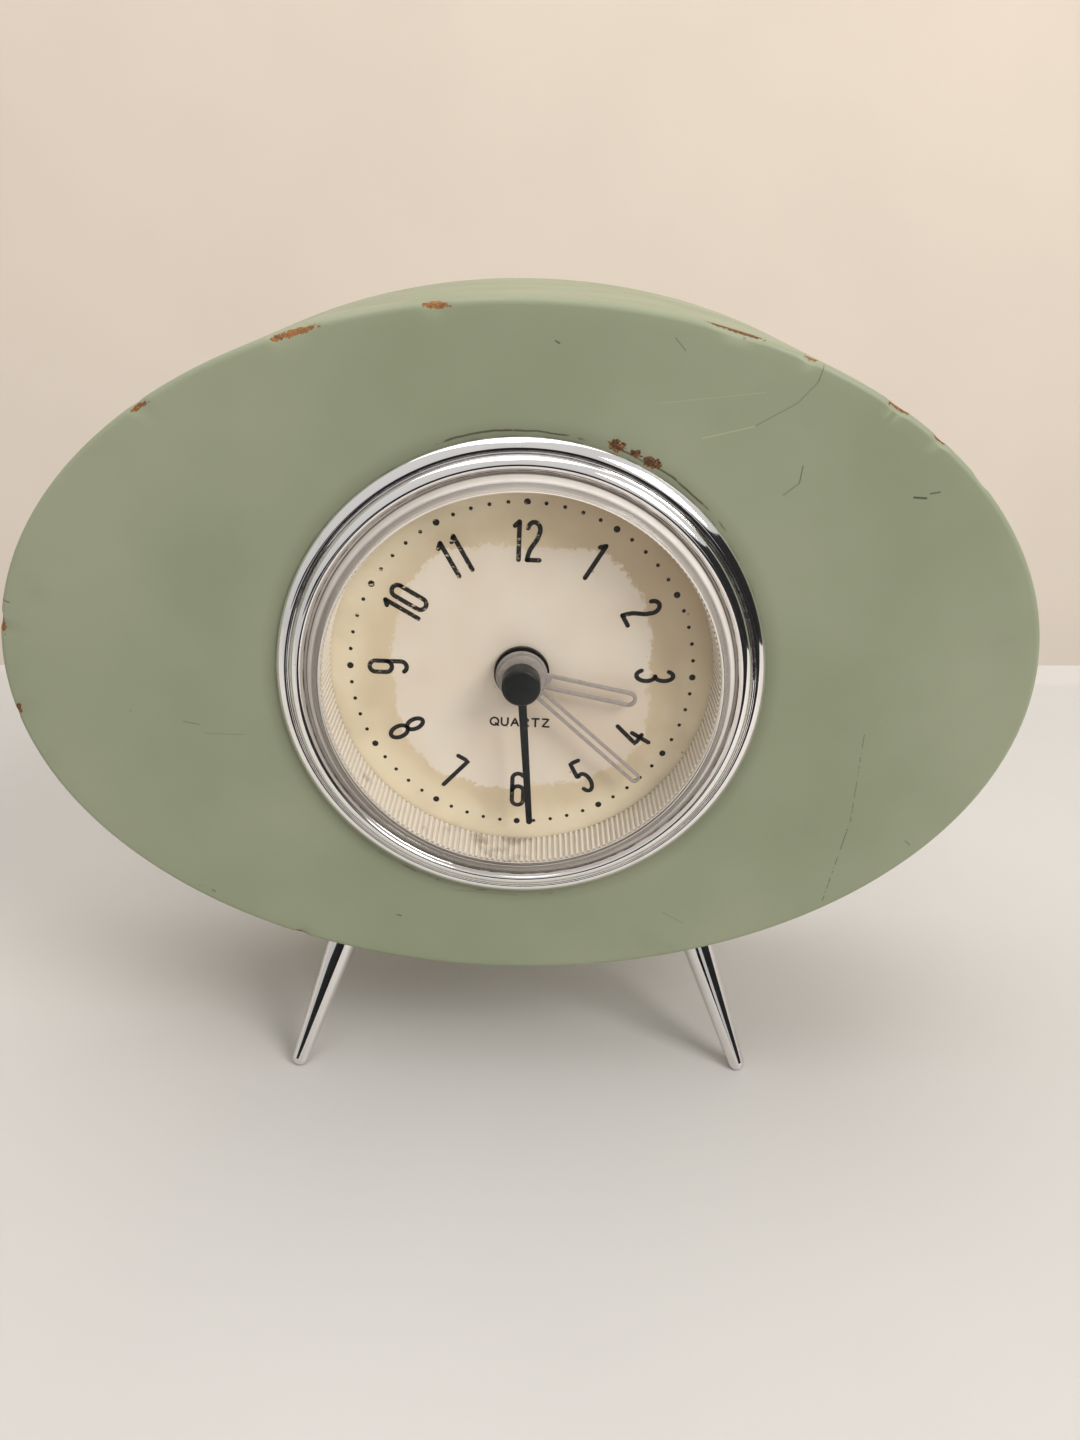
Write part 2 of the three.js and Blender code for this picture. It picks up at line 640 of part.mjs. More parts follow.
function rearCoverGeometry() {
  const y1 = BOX_FRONT + BOX_DEPTH + GAP;
  const y0 = BOX_BACK + GAP;
  const blank = plate(chamferedSquare(BOX_HALF, BOX_CHAMFER), y0, y1);
  const bay = BOX_INNER_HALF - 1;
  const opening = box(-bay, bay, y0 - 1, y1 + 1, CELL_Z - CELL_RADIUS + 0.5, CELL_Z + CELL_RADIUS - 0.5);
  const knob = at(rod(KNOB_SHAFT_RADIUS + RUNNING_GAP, y0 - 1, y1 + 1, 12), SET_KNOB);
  const screws = pillarPlaces().map((p) => at(rod(PILLAR_BORE, y0 - 1, y1 + 1, 12), p));
  return cut(blank, opening, knob, ...screws);
}

function screwGeometry() {
  const seat = BOX_FRONT + BOX_DEPTH + 2 * GAP;
  const head = turned([
    [0, seat - SCREW_LENGTH],
    [SCREW_SHANK_RADIUS, seat - SCREW_LENGTH],
    [SCREW_SHANK_RADIUS, seat],
    [SCREW_HEAD_RADIUS, seat],
    [SCREW_HEAD_RADIUS, seat + SCREW_HEAD_HEIGHT * 0.6],
    [SCREW_HEAD_RADIUS * 0.7, seat + SCREW_HEAD_HEIGHT],
    [0, seat + SCREW_HEAD_HEIGHT],
  ], 12);
  const arm = SCREW_HEAD_RADIUS + 1;
  const width = 0.2;
  const deep = seat + SCREW_HEAD_HEIGHT * 0.45;
  const top = seat + SCREW_HEAD_HEIGHT + 1;
  return cut(head, box(-arm, arm, deep, top, -width, width));
}

function addMovementBox(insert) {
  insert.add(piece("movement_case", movementCaseGeometry(), "blackPlastic"));
  insert.add(piece("bearing_plate", bearingPlateGeometry(), "whitePlastic"));
  insert.add(piece("rear_cover", rearCoverGeometry(), "blackPlastic"));
  const bushFront = DIAL_DEPTH - GAP - NUT_HEIGHT - GAP;
  insert.add(piece("centre_bush", tube(BUSH_BORE, BUSH_RADIUS, bushFront, BOX_INSIDE, SMALL), "brass"));
  insert.add(piece("centre_nut", nutGeometry(), "blackPlastic"));
  pillarPlaces().forEach((place, i) => {
    const screw = piece(`cover_screw_${i + 1}`, screwGeometry(), "steel");
    screw.position.set(place.x, 0, place.z);
    insert.add(screw);
  });
}

// A round nut with a slot across its face for a pin spanner
function nutGeometry() {
  const front = DIAL_DEPTH - GAP - NUT_HEIGHT;
  const ring = tube(BUSH_RADIUS + RUNNING_GAP, NUT_RADIUS, front, front + NUT_HEIGHT);
  const beyond = NUT_RADIUS + 1;
  return cut(ring, box(-beyond, beyond, front - 1, front + NUT_SLOT_DEPTH, -NUT_SLOT / 2, NUT_SLOT / 2));
}

// ---------------------------------------------------------------- electrical pieces

function batteryGeometry() {
  const start = -(CELL_LENGTH + CELL_NUB_LENGTH) / 2;
  const end = start + CELL_LENGTH;
  const cell = turned([
    [0, start],
    [CELL_RADIUS - 0.6, start],
    [CELL_RADIUS, start + 0.6],
    [CELL_RADIUS, end - 0.6],
    [CELL_RADIUS - 0.6, end],
    [CELL_NUB_RADIUS, end],
    [CELL_NUB_RADIUS, end + CELL_NUB_LENGTH],
    [0, end + CELL_NUB_LENGTH],
  ], SMALL);
  cell.rotateZ(-Math.PI / 2);
  cell.translate(0, CELL_DEPTH, CELL_Z);
  return cell;
}

// A sheet contact that stands against the end wall of the bay.
function contactGeometry(sign) {
  const wall = BOX_INNER_HALF - GAP;
  const face = wall - CONTACT_SHEET;
  const half = CELL_NUB_RADIUS + 1;
  const sheet = box(face, wall, CELL_DEPTH - half, CELL_DEPTH + half, CELL_Z - half, CELL_Z + half);
  if (sign < 0) sheet.rotateZ(Math.PI).translate(0, 2 * CELL_DEPTH, 0);
  return sheet;
}

function coilPlaces() {
  const middle = PLATE_FRONT - GAP - COIL_RADIUS - 0.3;
  return { y: middle, x0: ROTOR.x - COIL_HALF_LENGTH - 5, x1: ROTOR.x + COIL_HALF_LENGTH - 3 };
}

function stator() {
  const { x0, x1 } = coilPlaces();
  const low = ROTOR.z - ROTOR_RADIUS - 1.7;
  const shoulder = INTERMEDIATE.z + 2;
  const high = ROTOR.z + ROTOR_RADIUS + 1.5;
  const top = COIL_Z + CORE_WIDTH / 2 + 0.4;
  const left = x0 - STATOR_ARM;
  const right = x1 + STATOR_ARM;
  const shape = outline([
    [left, shoulder],
    [ROTOR.x - 4.6, shoulder],
    [ROTOR.x - 4, low],
    [ROTOR.x + 4, low],
    [ROTOR.x + 4.6, shoulder],
    [right, shoulder],
    [right, top],
    [x1, top],
    [x1, high],
    [x0, high],
    [x0, top],
    [left, top],
  ]);
  const y0 = MAGNET_LAYER - STATOR_THICKNESS / 2;
  const hole = at(rod(ROTOR_RADIUS + GAP, y0 - 1, y0 + 3, SMALL), ROTOR);
  return cut(plate(shape, y0, y0 + STATOR_THICKNESS), hole);
}

function addElectrics(insert) {
  insert.add(piece("battery", batteryGeometry(), "cell"));
  insert.add(piece("contact_positive", contactGeometry(1), "steel"));
  insert.add(piece("contact_negative", contactGeometry(-1), "steel"));
  insert.add(piece("stator", stator(), "steel"));
  addCoil(insert);
  addCircuit(insert);
}

function addCoil(insert) {
  const { x0, x1 } = coilPlaces();
  const coreBack = MAGNET_LAYER - STATOR_THICKNESS / 2 - GAP;
  const coreFront = coreBack - CORE_THICKNESS;
  const y = (coreBack + coreFront) / 2;
  const half = CORE_WIDTH / 2;
  const core = box(x0 - STATOR_ARM, x1 + STATOR_ARM, coreFront, coreBack, COIL_Z - half, COIL_Z + half);
  insert.add(piece("coil_core", core, "steel"));
  const a0 = x0 + GAP;
  const a1 = x1 - GAP;
  const flange = 0.8;
  const tubeHalfY = CORE_THICKNESS / 2 + GAP + 0.4;
  const tubeHalfZ = half + GAP + 0.4;
  const wing = COIL_RADIUS;
  const block = (xa, xb, dy, dz) => box(xa, xb, y - dy, y + dy, COIL_Z - dz, COIL_Z + dz);
  const bobbin = cut(
    join(
      block(a0, a1, tubeHalfY, tubeHalfZ),
      block(a0, a0 + flange, wing, wing + 0.5),
      block(a1 - flange, a1, wing, wing + 0.5),
    ),
    block(a0 - 1, a1 + 1, CORE_THICKNESS / 2 + GAP, half + GAP),
  );
  insert.add(piece("coil_bobbin", bobbin, "whitePlastic"));
  const w0 = a0 + flange + GAP;
  const w1 = a1 - flange - GAP;
  const fill = GAP / 2;
  const winding = cut(
    block(w0, w1, wing - 0.2, wing + 0.3),
    block(w0 - 1, w1 + 1, tubeHalfY + fill, tubeHalfZ + fill),
  );
  insert.add(piece("coil_winding", winding, "copper"));
}

function addCircuit(insert) {
  const x1 = coilPlaces().x0 - STATOR_ARM - 1;
  const x0 = x1 - BOARD_WIDTH;
  const z0 = THIRD.z + 3.5;
  const y1 = MAGNET_LAYER - STATOR_THICKNESS / 2;
  const y0 = y1 - BOARD_THICKNESS;
  insert.add(piece("circuit_board", box(x0, x1, y0, y1, z0, z0 + BOARD_HEIGHT), "board"));
  const canY = y0 - GAP - CRYSTAL_RADIUS;
  const can = upright(rod(CRYSTAL_RADIUS, 0, CRYSTAL_LENGTH, 16));
  can.translate(x0 + 2, canY, z0 + 1 + CRYSTAL_LENGTH);
  insert.add(piece("quartz_crystal", can, "steel"));
  const blob = turned([[0, y0 - GAP - 0.9], [1.3, y0 - GAP - 0.7], [2, y0 - GAP], [0, y0 - GAP]], 16);
  blob.translate(x0 + 6, 0, z0 + 8.5);
  insert.add(piece("clock_chip", blob, "blackPlastic"));
}

// ---------------------------------------------------------------- gears

// A gear's outline, with one tooth pointing in a direction counted clockwise from 12 o'clock.
function gearShape(teeth, module, toothDirection) {
  const pitch = (module * teeth) / 2;
  const tip = pitch + ADDENDUM * module;
  const root = pitch - DEDENDUM * module;
  const rootHalf = (ROOT_HALF_WIDTH * module) / root;
  const tipHalf = (TIP_HALF_WIDTH * module) / tip;
  const corners = [[root, -rootHalf], [tip, -tipHalf], [tip, tipHalf], [root, rootHalf]];
  const shape = [];
  for (let i = 0; i < teeth; i++) {
    const middle = THREE.MathUtils.degToRad(90 - toothDirection) + (2 * Math.PI * i) / teeth;
    for (const [radius, turn] of corners) {
      shape.push([radius * Math.cos(middle + turn), radius * Math.sin(middle + turn)]);
    }
  }
  return outline(shape);
}

function gear(teeth, module, layer, thickness, toothDirection) {
  return plate(gearShape(teeth, module, toothDirection), layer - thickness / 2, layer + thickness / 2);
}

// The direction that puts a gap, not a tooth, of a gear on the line to its mate.
function gapTowards(direction, teeth) {
  return direction + 180 / teeth;
}

// An arbor with a thin pivot at each end.
function arbor(radius, front, back) {
  return turned([
    [0, front - PIVOT_DEPTH],
    [PIVOT_RADIUS, front - PIVOT_DEPTH],
    [PIVOT_RADIUS, front],
    [radius, front],
    [radius, back],
    [PIVOT_RADIUS, back],
    [PIVOT_RADIUS, back + GAP + PIVOT_DEPTH],
    [0, back + GAP + PIVOT_DEPTH],
  ], 12);
}

function secondsWheelGeometry() {
  const mesh = moduleOf(THIRD_CENTRES, SECONDS_PINION, THIRD_WHEEL);
  const wheelMesh = moduleOf(INTERMEDIATE_CENTRES, INTERMEDIATE_PINION, SECONDS_WHEEL);
  const pinion = gear(SECONDS_PINION, mesh, THIRD_LAYER, PINION_THICKNESS, THIRD_DIRECTION);
  const wheel = gear(SECONDS_WHEEL, wheelMesh, SECONDS_LAYER, WHEEL_THICKNESS, INTERMEDIATE_DIRECTION);
  const hub = rod(ARBOR_RADIUS, THIRD_LAYER, ARBOR_BACK, 12);
  const shaftFront = SECOND_HUB_FRONT + GAP + 0.5;
  const shaft = turned([
    [0, shaftFront],
    [SECOND_SHAFT_RADIUS, shaftFront],
    [SECOND_SHAFT_RADIUS, THIRD_LAYER + 0.1],
    [PIVOT_RADIUS, THIRD_LAYER + 0.1],
    [PIVOT_RADIUS, ARBOR_BACK + GAP + PIVOT_DEPTH],
    [0, ARBOR_BACK + GAP + PIVOT_DEPTH],
  ], 12);
  return join(shaft, hub, pinion, wheel);
}

function thirdWheelGeometry() {
  const back = THIRD_DIRECTION + 180;
  const wheelMesh = moduleOf(THIRD_CENTRES, SECONDS_PINION, THIRD_WHEEL);
  const pinionMesh = moduleOf(THIRD_CENTRES, THIRD_PINION, CENTRE_WHEEL);
  const wheel = gear(THIRD_WHEEL, wheelMesh, THIRD_LAYER, WHEEL_THICKNESS, gapTowards(back, THIRD_WHEEL));
  const pinion = gear(THIRD_PINION, pinionMesh, CENTRE_LAYER, PINION_THICKNESS, gapTowards(back, THIRD_PINION));
  return join(arbor(ARBOR_RADIUS, CENTRE_LAYER - PINION_THICKNESS / 2, ARBOR_BACK), wheel, pinion);
}

function intermediateWheelGeometry() {
  const back = INTERMEDIATE_DIRECTION + 180;
  const pinionMesh = moduleOf(INTERMEDIATE_CENTRES, INTERMEDIATE_PINION, SECONDS_WHEEL);
  const wheelMesh = moduleOf(ROTOR_CENTRES, INTERMEDIATE_WHEEL, ROTOR_PINION);
  const towardsSeconds = gapTowards(back, INTERMEDIATE_PINION);
  const pinion = gear(INTERMEDIATE_PINION, pinionMesh, SECONDS_LAYER, PINION_THICKNESS, towardsSeconds);
  const wheel = gear(INTERMEDIATE_WHEEL, wheelMesh, ROTOR_LAYER, WHEEL_THICKNESS, ROTOR_DIRECTION);
  return join(arbor(ARBOR_RADIUS, SECONDS_LAYER - PINION_THICKNESS / 2, ARBOR_BACK), pinion, wheel);
}

function rotorGeometry() {
  const back = ROTOR_DIRECTION + 180;
  const mesh = moduleOf(ROTOR_CENTRES, INTERMEDIATE_WHEEL, ROTOR_PINION);
  const pinion = gear(ROTOR_PINION, mesh, ROTOR_LAYER, PINION_THICKNESS, gapTowards(back, ROTOR_PINION));
  const half = ROTOR_THICKNESS / 2;
  const magnet = rod(ROTOR_RADIUS, MAGNET_LAYER - half, MAGNET_LAYER + half);
  return join(arbor(ARBOR_RADIUS, ROTOR_LAYER - PINION_THICKNESS / 2, ARBOR_BACK), pinion, magnet);
}

function centreWheelGeometry() {
  const mesh = moduleOf(THIRD_CENTRES, THIRD_PINION, CENTRE_WHEEL);
  const wheel = gear(CENTRE_WHEEL, mesh, CENTRE_LAYER, WHEEL_THICKNESS, THIRD_DIRECTION);
  const bore = MINUTE_PIPE_RADIUS + RUNNING_GAP;
  const half = WHEEL_THICKNESS / 2;
  return cut(wheel, rod(bore, CENTRE_LAYER - half - 1, CENTRE_LAYER + half + 1));
}

function minutePipeGeometry() {
  const mesh = moduleOf(MOTION_CENTRES, CANNON_PINION, MOTION_WHEEL);
  const front = MINUTE_HAND_DEPTH - HAND_THICKNESS - 0.5;
  const back = CENTRE_LAYER + WHEEL_THICKNESS / 2 + GAP;
  const pinion = gear(CANNON_PINION, mesh, CANNON_LAYER, PINION_THICKNESS, MOTION_DIRECTION);
  const pipe = join(rod(MINUTE_PIPE_RADIUS, front, back), pinion);
  return cut(pipe, rod(MINUTE_PIPE_BORE, front - 1, back + 1, 12));
}

function motionWheelGeometry() {
  const back = MOTION_DIRECTION + 180;
  const wheelMesh = moduleOf(MOTION_CENTRES, CANNON_PINION, MOTION_WHEEL);
  const pinionMesh = moduleOf(MOTION_CENTRES, MOTION_PINION, HOUR_WHEEL);
  const wheel = gear(MOTION_WHEEL, wheelMesh, CANNON_LAYER, WHEEL_THICKNESS, gapTowards(back, MOTION_WHEEL));
  const pinion = gear(MOTION_PINION, pinionMesh, HOUR_LAYER, PINION_THICKNESS, gapTowards(back, MOTION_PINION));
  const half = WHEEL_THICKNESS / 2;
  const boss = rod(ARBOR_RADIUS + 0.5, HOUR_LAYER, CANNON_LAYER + half, 12);
  const bore = rod(MOTION_POST_RADIUS + RUNNING_GAP, HOUR_LAYER - PINION_THICKNESS, CANNON_LAYER + half + 1, 12);
  return cut(join(wheel, pinion, boss), bore);
}

function hourWheelGeometry() {
  const mesh = moduleOf(MOTION_CENTRES, MOTION_PINION, HOUR_WHEEL);
  const front = HOUR_HAND_DEPTH - HAND_THICKNESS - GAP;
  const back = HOUR_LAYER + WHEEL_THICKNESS / 2;
  const wheel = gear(HOUR_WHEEL, mesh, HOUR_LAYER, WHEEL_THICKNESS, MOTION_DIRECTION);
  const pipe = join(rod(HOUR_PIPE_RADIUS, front, back), wheel);
  return cut(pipe, rod(HOUR_PIPE_BORE, front - 1, back + 1));
}

// The motion wheel has a gap, not a tooth, towards the cannon pinion, so its teeth stand at a
// known phase; this is the direction of its tooth nearest to the setting pinion.
function setPinionTooth() {
  const step = 360 / MOTION_WHEEL;
  const phase = gapTowards(MOTION_DIRECTION + 180, MOTION_WHEEL);
  const beyond = (((SET_DIRECTION - phase) % step) + step) % step;
  return SET_DIRECTION + 180 + 180 / SET_PINION + (beyond * MOTION_WHEEL) / SET_PINION;
}

function setKnobGeometry() {
  const front = CANNON_LAYER - PINION_THICKNESS / 2;
  const knobFront = BOX_FRONT + BOX_DEPTH + 2 * GAP;
  const knobBack = knobFront + KNOB_HEIGHT;
  const pinion = gear(SET_PINION, SET_MODULE, CANNON_LAYER, PINION_THICKNESS, setPinionTooth());
  const shaft = rod(KNOB_SHAFT_RADIUS, front, knobBack - 1, 12);
  const pivot = rod(PIVOT_RADIUS, front - PIVOT_DEPTH, front + 1, 12);
  const ribs = [];
  for (let i = 0; i < 2 * KNOB_RIBS; i++) {
    const a = (Math.PI * i) / KNOB_RIBS;
    const r = KNOB_RADIUS - (i % 2) * KNOB_RIB_DEPTH;
    ribs.push([r * Math.cos(a), r * Math.sin(a)]);
  }
  return join(plate(outline(ribs), knobFront, knobBack), shaft, pivot, pinion);
}

function addGears(insert) {
  const place = (mesh, p) => {
    mesh.position.set(p.x, 0, p.z);
    insert.add(mesh);
  };
  place(piece("seconds_wheel", secondsWheelGeometry(), "whitePlastic"), CENTRE);
  place(piece("third_wheel", thirdWheelGeometry(), "whitePlastic"), THIRD);
  place(piece("centre_wheel", centreWheelGeometry(), "whitePlastic"), CENTRE);
  place(piece("intermediate_wheel", intermediateWheelGeometry(), "whitePlastic"), INTERMEDIATE);
  place(piece("rotor", rotorGeometry(), "magnet"), ROTOR);
  place(piece("minute_pipe", minutePipeGeometry(), "brass"), CENTRE);
  place(piece("motion_wheel", motionWheelGeometry(), "whitePlastic"), MOTION);
  place(piece("hour_wheel", hourWheelGeometry(), "whitePlastic"), CENTRE);
  place(piece("set_knob", setKnobGeometry(), "blackPlastic"), SET_KNOB);
}

// ---------------------------------------------------------------- hands

// A baton with a round end, drawn towards 12 o'clock from the hub's edge.
function batonShape(width, length, start) {
  const half = width / 2;
  const shape = new THREE.Shape();
  shape.moveTo(half, start);
  shape.lineTo(half, length - half);
  shape.absarc(0, length - half, half, 0, Math.PI, false);
  shape.lineTo(-half, start);
  shape.closePath();
  return shape;
}

function openHand(sizes) {
  const { length, width, slot, boss, bore, depth } = sizes;
  const y0 = depth - HAND_THICKNESS;
  const blade = plate(batonShape(width, length, 0), y0, depth);
  const wall = (width - slot) / 2;
  const window = plate(batonShape(slot, length - wall, boss + wall), y0 - 1, depth + 1);
  return cut(join(rod(boss, y0, depth, 32), blade), window, rod(bore, y0 - 1, depth + 1));
}

function secondHandGeometry() {
  const y0 = SECOND_HAND_DEPTH - HAND_THICKNESS;
  const root = SECOND_HAND_ROOT / 2;
  const tip = SECOND_HAND_TIP / 2;
  const end = SECOND_HAND_LENGTH - tip;
  const shape = new THREE.Shape();
  shape.moveTo(root, 0);
  shape.lineTo(tip, end);
  shape.absarc(0, end, tip, 0, Math.PI, false);
  shape.lineTo(-root, 0);
  shape.closePath();
  const blade = plate(shape, y0, SECOND_HAND_DEPTH);
  const hub = turned([
    [0, SECOND_HUB_FRONT],
    [SECOND_HUB_RADIUS - 0.4, SECOND_HUB_FRONT],
    [SECOND_HUB_RADIUS, SECOND_HUB_FRONT + 0.4],
    [SECOND_HUB_RADIUS, SECOND_HUB_BACK],
    [0, SECOND_HUB_BACK],
  ], 32);
  const bore = rod(SECOND_SHAFT_RADIUS + RUNNING_GAP, SECOND_HUB_FRONT + 0.5, SECOND_HUB_BACK + 1, 12);
  return cut(join(hub, blade), bore);
}

function turnedTo(mesh, degrees) {
  mesh.rotation.y = THREE.MathUtils.degToRad(degrees);
  return mesh;
}

function addHands(insert) {
  const hour = openHand({
    length: HOUR_HAND_LENGTH,
    width: HOUR_HAND_WIDTH,
    slot: HOUR_HAND_SLOT,
    boss: HOUR_HAND_BOSS,
    bore: HOUR_PIPE_RADIUS + RUNNING_GAP,
    depth: HOUR_HAND_DEPTH,
  });
  const minute = openHand({
    length: MINUTE_HAND_LENGTH,
    width: MINUTE_HAND_WIDTH,
    slot: MINUTE_HAND_SLOT,
    boss: MINUTE_HAND_BOSS,
    bore: MINUTE_PIPE_RADIUS + RUNNING_GAP,
    depth: MINUTE_HAND_DEPTH,
  });
  const hourAngle = 30 * (SHOWN_HOUR + SHOWN_MINUTE / 60);
  insert.add(turnedTo(piece("hour_hand", hour, "silverHand"), hourAngle));
  insert.add(turnedTo(piece("minute_hand", minute, "silverHand"), 6 * SHOWN_MINUTE));
  insert.add(turnedTo(piece("second_hand", secondHandGeometry(), "blackHand"), 6 * SHOWN_SECOND));
}

// ---------------------------------------------------------------- assembly

const clock = new THREE.Group();
clock.position.set(0, (LENS_HEIGHT - BLOCK_DEPTH) / 2, -FLOOR_Z);
addBlockAndLegs(clock);

const insert = new THREE.Group();
insert.position.z = -INSERT_DROP;
insert.rotation.y = THREE.MathUtils.degToRad(INSERT_TURN);
addInsertCase(insert);
addMovementBox(insert);
addElectrics(insert);
addGears(insert);
addHands(insert);
clock.add(insert);

const root = new THREE.Group();
root.add(clock);
export default root;
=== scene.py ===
"""The finished look of an oval desk clock: a painted block on chrome legs with a round quartz insert."""
import json
import logging
import math
from dataclasses import dataclass
from enum import Enum
from typing import Callable, Iterable, Optional, Sequence, Union

import bmesh
import bpy
import numpy as np
from mathutils import Euler, Matrix, Vector


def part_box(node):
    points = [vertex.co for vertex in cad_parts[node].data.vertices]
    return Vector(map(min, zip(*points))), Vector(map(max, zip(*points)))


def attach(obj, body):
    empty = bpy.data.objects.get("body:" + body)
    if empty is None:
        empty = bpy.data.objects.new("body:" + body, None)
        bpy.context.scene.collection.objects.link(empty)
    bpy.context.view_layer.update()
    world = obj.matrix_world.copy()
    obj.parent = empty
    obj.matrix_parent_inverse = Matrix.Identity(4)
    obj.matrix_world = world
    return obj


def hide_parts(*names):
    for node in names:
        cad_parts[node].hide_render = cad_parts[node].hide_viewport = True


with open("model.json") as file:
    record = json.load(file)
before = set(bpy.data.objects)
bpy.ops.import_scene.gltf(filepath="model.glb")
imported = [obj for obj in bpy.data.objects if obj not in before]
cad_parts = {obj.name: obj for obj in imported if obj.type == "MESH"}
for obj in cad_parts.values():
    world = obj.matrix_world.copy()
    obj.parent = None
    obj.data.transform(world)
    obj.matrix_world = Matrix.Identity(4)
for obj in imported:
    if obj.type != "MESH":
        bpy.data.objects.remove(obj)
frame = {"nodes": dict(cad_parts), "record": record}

logging.basicConfig(level=logging.INFO, format="%(message)s")
LOG = logging.getLogger("clock")
MM = 0.001
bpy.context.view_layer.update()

Colour = tuple[float, float, float, float]
Path = list[tuple[float, float]]
Point = tuple[float, float, float]
Socket = bpy.types.NodeSocket
Value = Union[float, Socket]

PEN_CAP = (82, 60, 30)  # degrees round a stroke's end
EASED_STEPS = 2  # steps in a rounded edge
EASED_OVER = 30  # degrees; sharper edges are rounded
SHARP_OVER = 40  # degrees; sharper edges of a rounded copy still shade as edges


def srgb(red: int, green: int, blue: int) -> Colour:
    """A colour given in everyday 0-255 values, as the shader's linear one."""
    def linear(value: int) -> float:
        """One channel."""
        share = value / 255
        return share / 12.92 if share <= 0.04045 else ((share + 0.055) / 1.055) ** 2.4
    return linear(red), linear(green), linear(blue), 1.0


# ------------------------------------------------------------------ where things are


@dataclass(frozen=True)
class Layout:
    """Places of the clock in millimetres, taken from the fixed frame.

    Args:
        face: y of the block's front face.
        rear: y of the block's back.
        dial: y of the dial's front.
        centre: z of the dial's centre.
        middle: z of the block's middle.
        half_width: half the block's width.
        half_height: half the block's height.
        turn: how far the insert sits turned clockwise, in radians.
    """

    face: float
    rear: float
    dial: float
    centre: float
    middle: float
    half_width: float
    half_height: float
    turn: float = math.radians(1.4)

    @classmethod
    def from_frame(cls) -> "Layout":
        """Reads the places from the frame's nodes."""
        block_low, block_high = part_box("body_block")
        bezel_low, bezel_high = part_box("bezel")
        dial_low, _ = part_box("dial_plate")
        return cls(
            face=block_low.y / MM,
            rear=block_high.y / MM,
            dial=dial_low.y / MM,
            centre=(bezel_low.z + bezel_high.z) / 2 / MM,
            middle=(block_low.z + block_high.z) / 2 / MM,
            half_width=(block_high.x - block_low.x) / 2 / MM,
            half_height=(block_high.z - block_low.z) / 2 / MM,
        )

    def before_face(self, distance: float) -> float:
        """y of a place in front of the block's face."""
        return self.face - distance

    def before_dial(self, distance: float) -> float:
        """y of a place in front of the dial."""
        return self.dial - distance

    def on_dial(self, degrees: float, radius: float) -> tuple[float, float]:
        """x and z of a place on the dial, by clock angle and radius."""
        angle = math.radians(degrees) + self.turn
        return radius * math.sin(angle), self.centre + radius * math.cos(angle)


PLACES = Layout.from_frame()


# ------------------------------------------------------------------ mesh tools


def make_object(name: str, points: np.ndarray, faces: list, sharp: float = 35.0) -> bpy.types.Object:
    """Makes a smooth-shaded closed mesh object.

    Args:
        name: the piece's name.
        points: an N by 3 array in millimetres.
        faces: lists of point numbers.
        sharp: edges over this angle, in degrees, stay sharp.

    Returns:
        The linked object, at the origin.
    """
    mesh = bpy.data.meshes.new(name)
    mesh.from_pydata((np.asarray(points, float) * MM).tolist(), [], faces)
    mesh.validate()
    work = bmesh.new()
    work.from_mesh(mesh)
    bmesh.ops.recalc_face_normals(work, faces=work.faces)
    if work.calc_volume(signed=True) < 0:
        bmesh.ops.reverse_faces(work, faces=work.faces)
    work.to_mesh(mesh)
    work.free()
    mesh.shade_smooth()
    mesh.set_sharp_from_angle(angle=math.radians(sharp))
    piece = bpy.data.objects.new(name, mesh)
    bpy.context.scene.collection.objects.link(piece)
    return piece


def revolve(profile: Sequence[tuple[float, float]], segments: int) -> tuple[np.ndarray, list]:
    """Turns a profile about the y axis through the origin.

    Args:
        profile: (radius, y) points; it ends on the axis, or it closes on itself.
        segments: steps round the turn.

    Returns:
        The points and faces.
    """
    points: list[tuple[float, float, float]] = []
    rings: list[list[int]] = []
    for radius, depth in profile:
        if radius < 1e-6:
            points.append((0.0, depth, 0.0))
            rings.append([len(points) - 1] * segments)
            continue
        start = len(points)
        for step in range(segments):
            angle = 2 * math.pi * step / segments
            points.append((radius * math.sin(angle), depth, radius * math.cos(angle)))
        rings.append(list(range(start, start + segments)))
    closed = profile[0][0] > 1e-6
    pairs = list(zip(rings, rings[1:] + rings[:1])) if closed else list(zip(rings, rings[1:]))
    faces = []
    for low, high in pairs:
        for step in range(segments):
            beyond = (step + 1) % segments
            corners = [low[step], low[beyond], high[beyond], high[step]]
            kept = list(dict.fromkeys(corners))
            if len(kept) > 2:
                faces.append(kept)
    return np.array(points), faces


def smooth_profile(points: Sequence[tuple[float, float]], steps: int) -> list[tuple[float, float]]:
    """A rounded run through a few profile points (Catmull-Rom), ends kept."""
    run = []
    padded = [points[0], *points, points[-1]]
    for before, start, end, after in zip(padded, padded[1:], padded[2:], padded[3:]):
        for step in range(steps):
            t = step / steps
            run.append(tuple(
                0.5 * (2 * b + (c - a) * t + (2 * a - 5 * b + 4 * c - d) * t * t
                       + (3 * b - a - 3 * c + d) * t ** 3)
                for a, b, c, d in zip(before, start, end, after)
            ))
    run.append(tuple(points[-1]))
    return run


def turned_piece(name: str, profile: Sequence[tuple[float, float]], segments: int,
                 sharp: float = 35.0) -> bpy.types.Object:
    """Turns a piece on the dial's axis.

    Args:
        name: the piece's name.
        profile: (radius, y) points; see revolve.
        segments: steps round the turn.
        sharp: edges over this angle, in degrees, stay sharp.

    Returns:
        The linked object, at the origin.
    """
    points, faces = revolve(profile, segments)
    points[:, 2] += PLACES.centre
    return make_object(name, points, faces, sharp)


def merge_pieces(parts: Iterable[tuple[np.ndarray, list]]) -> tuple[np.ndarray, list]:
    """Puts several point-and-face sets into one."""
    clouds, faces, start = [], [], 0
    for points, some in parts:
        clouds.append(points)
        faces.extend([[start + upper_right_shade for upper_right_shade in face] for face in some])
        start += len(points)
    return np.vstack(clouds), faces


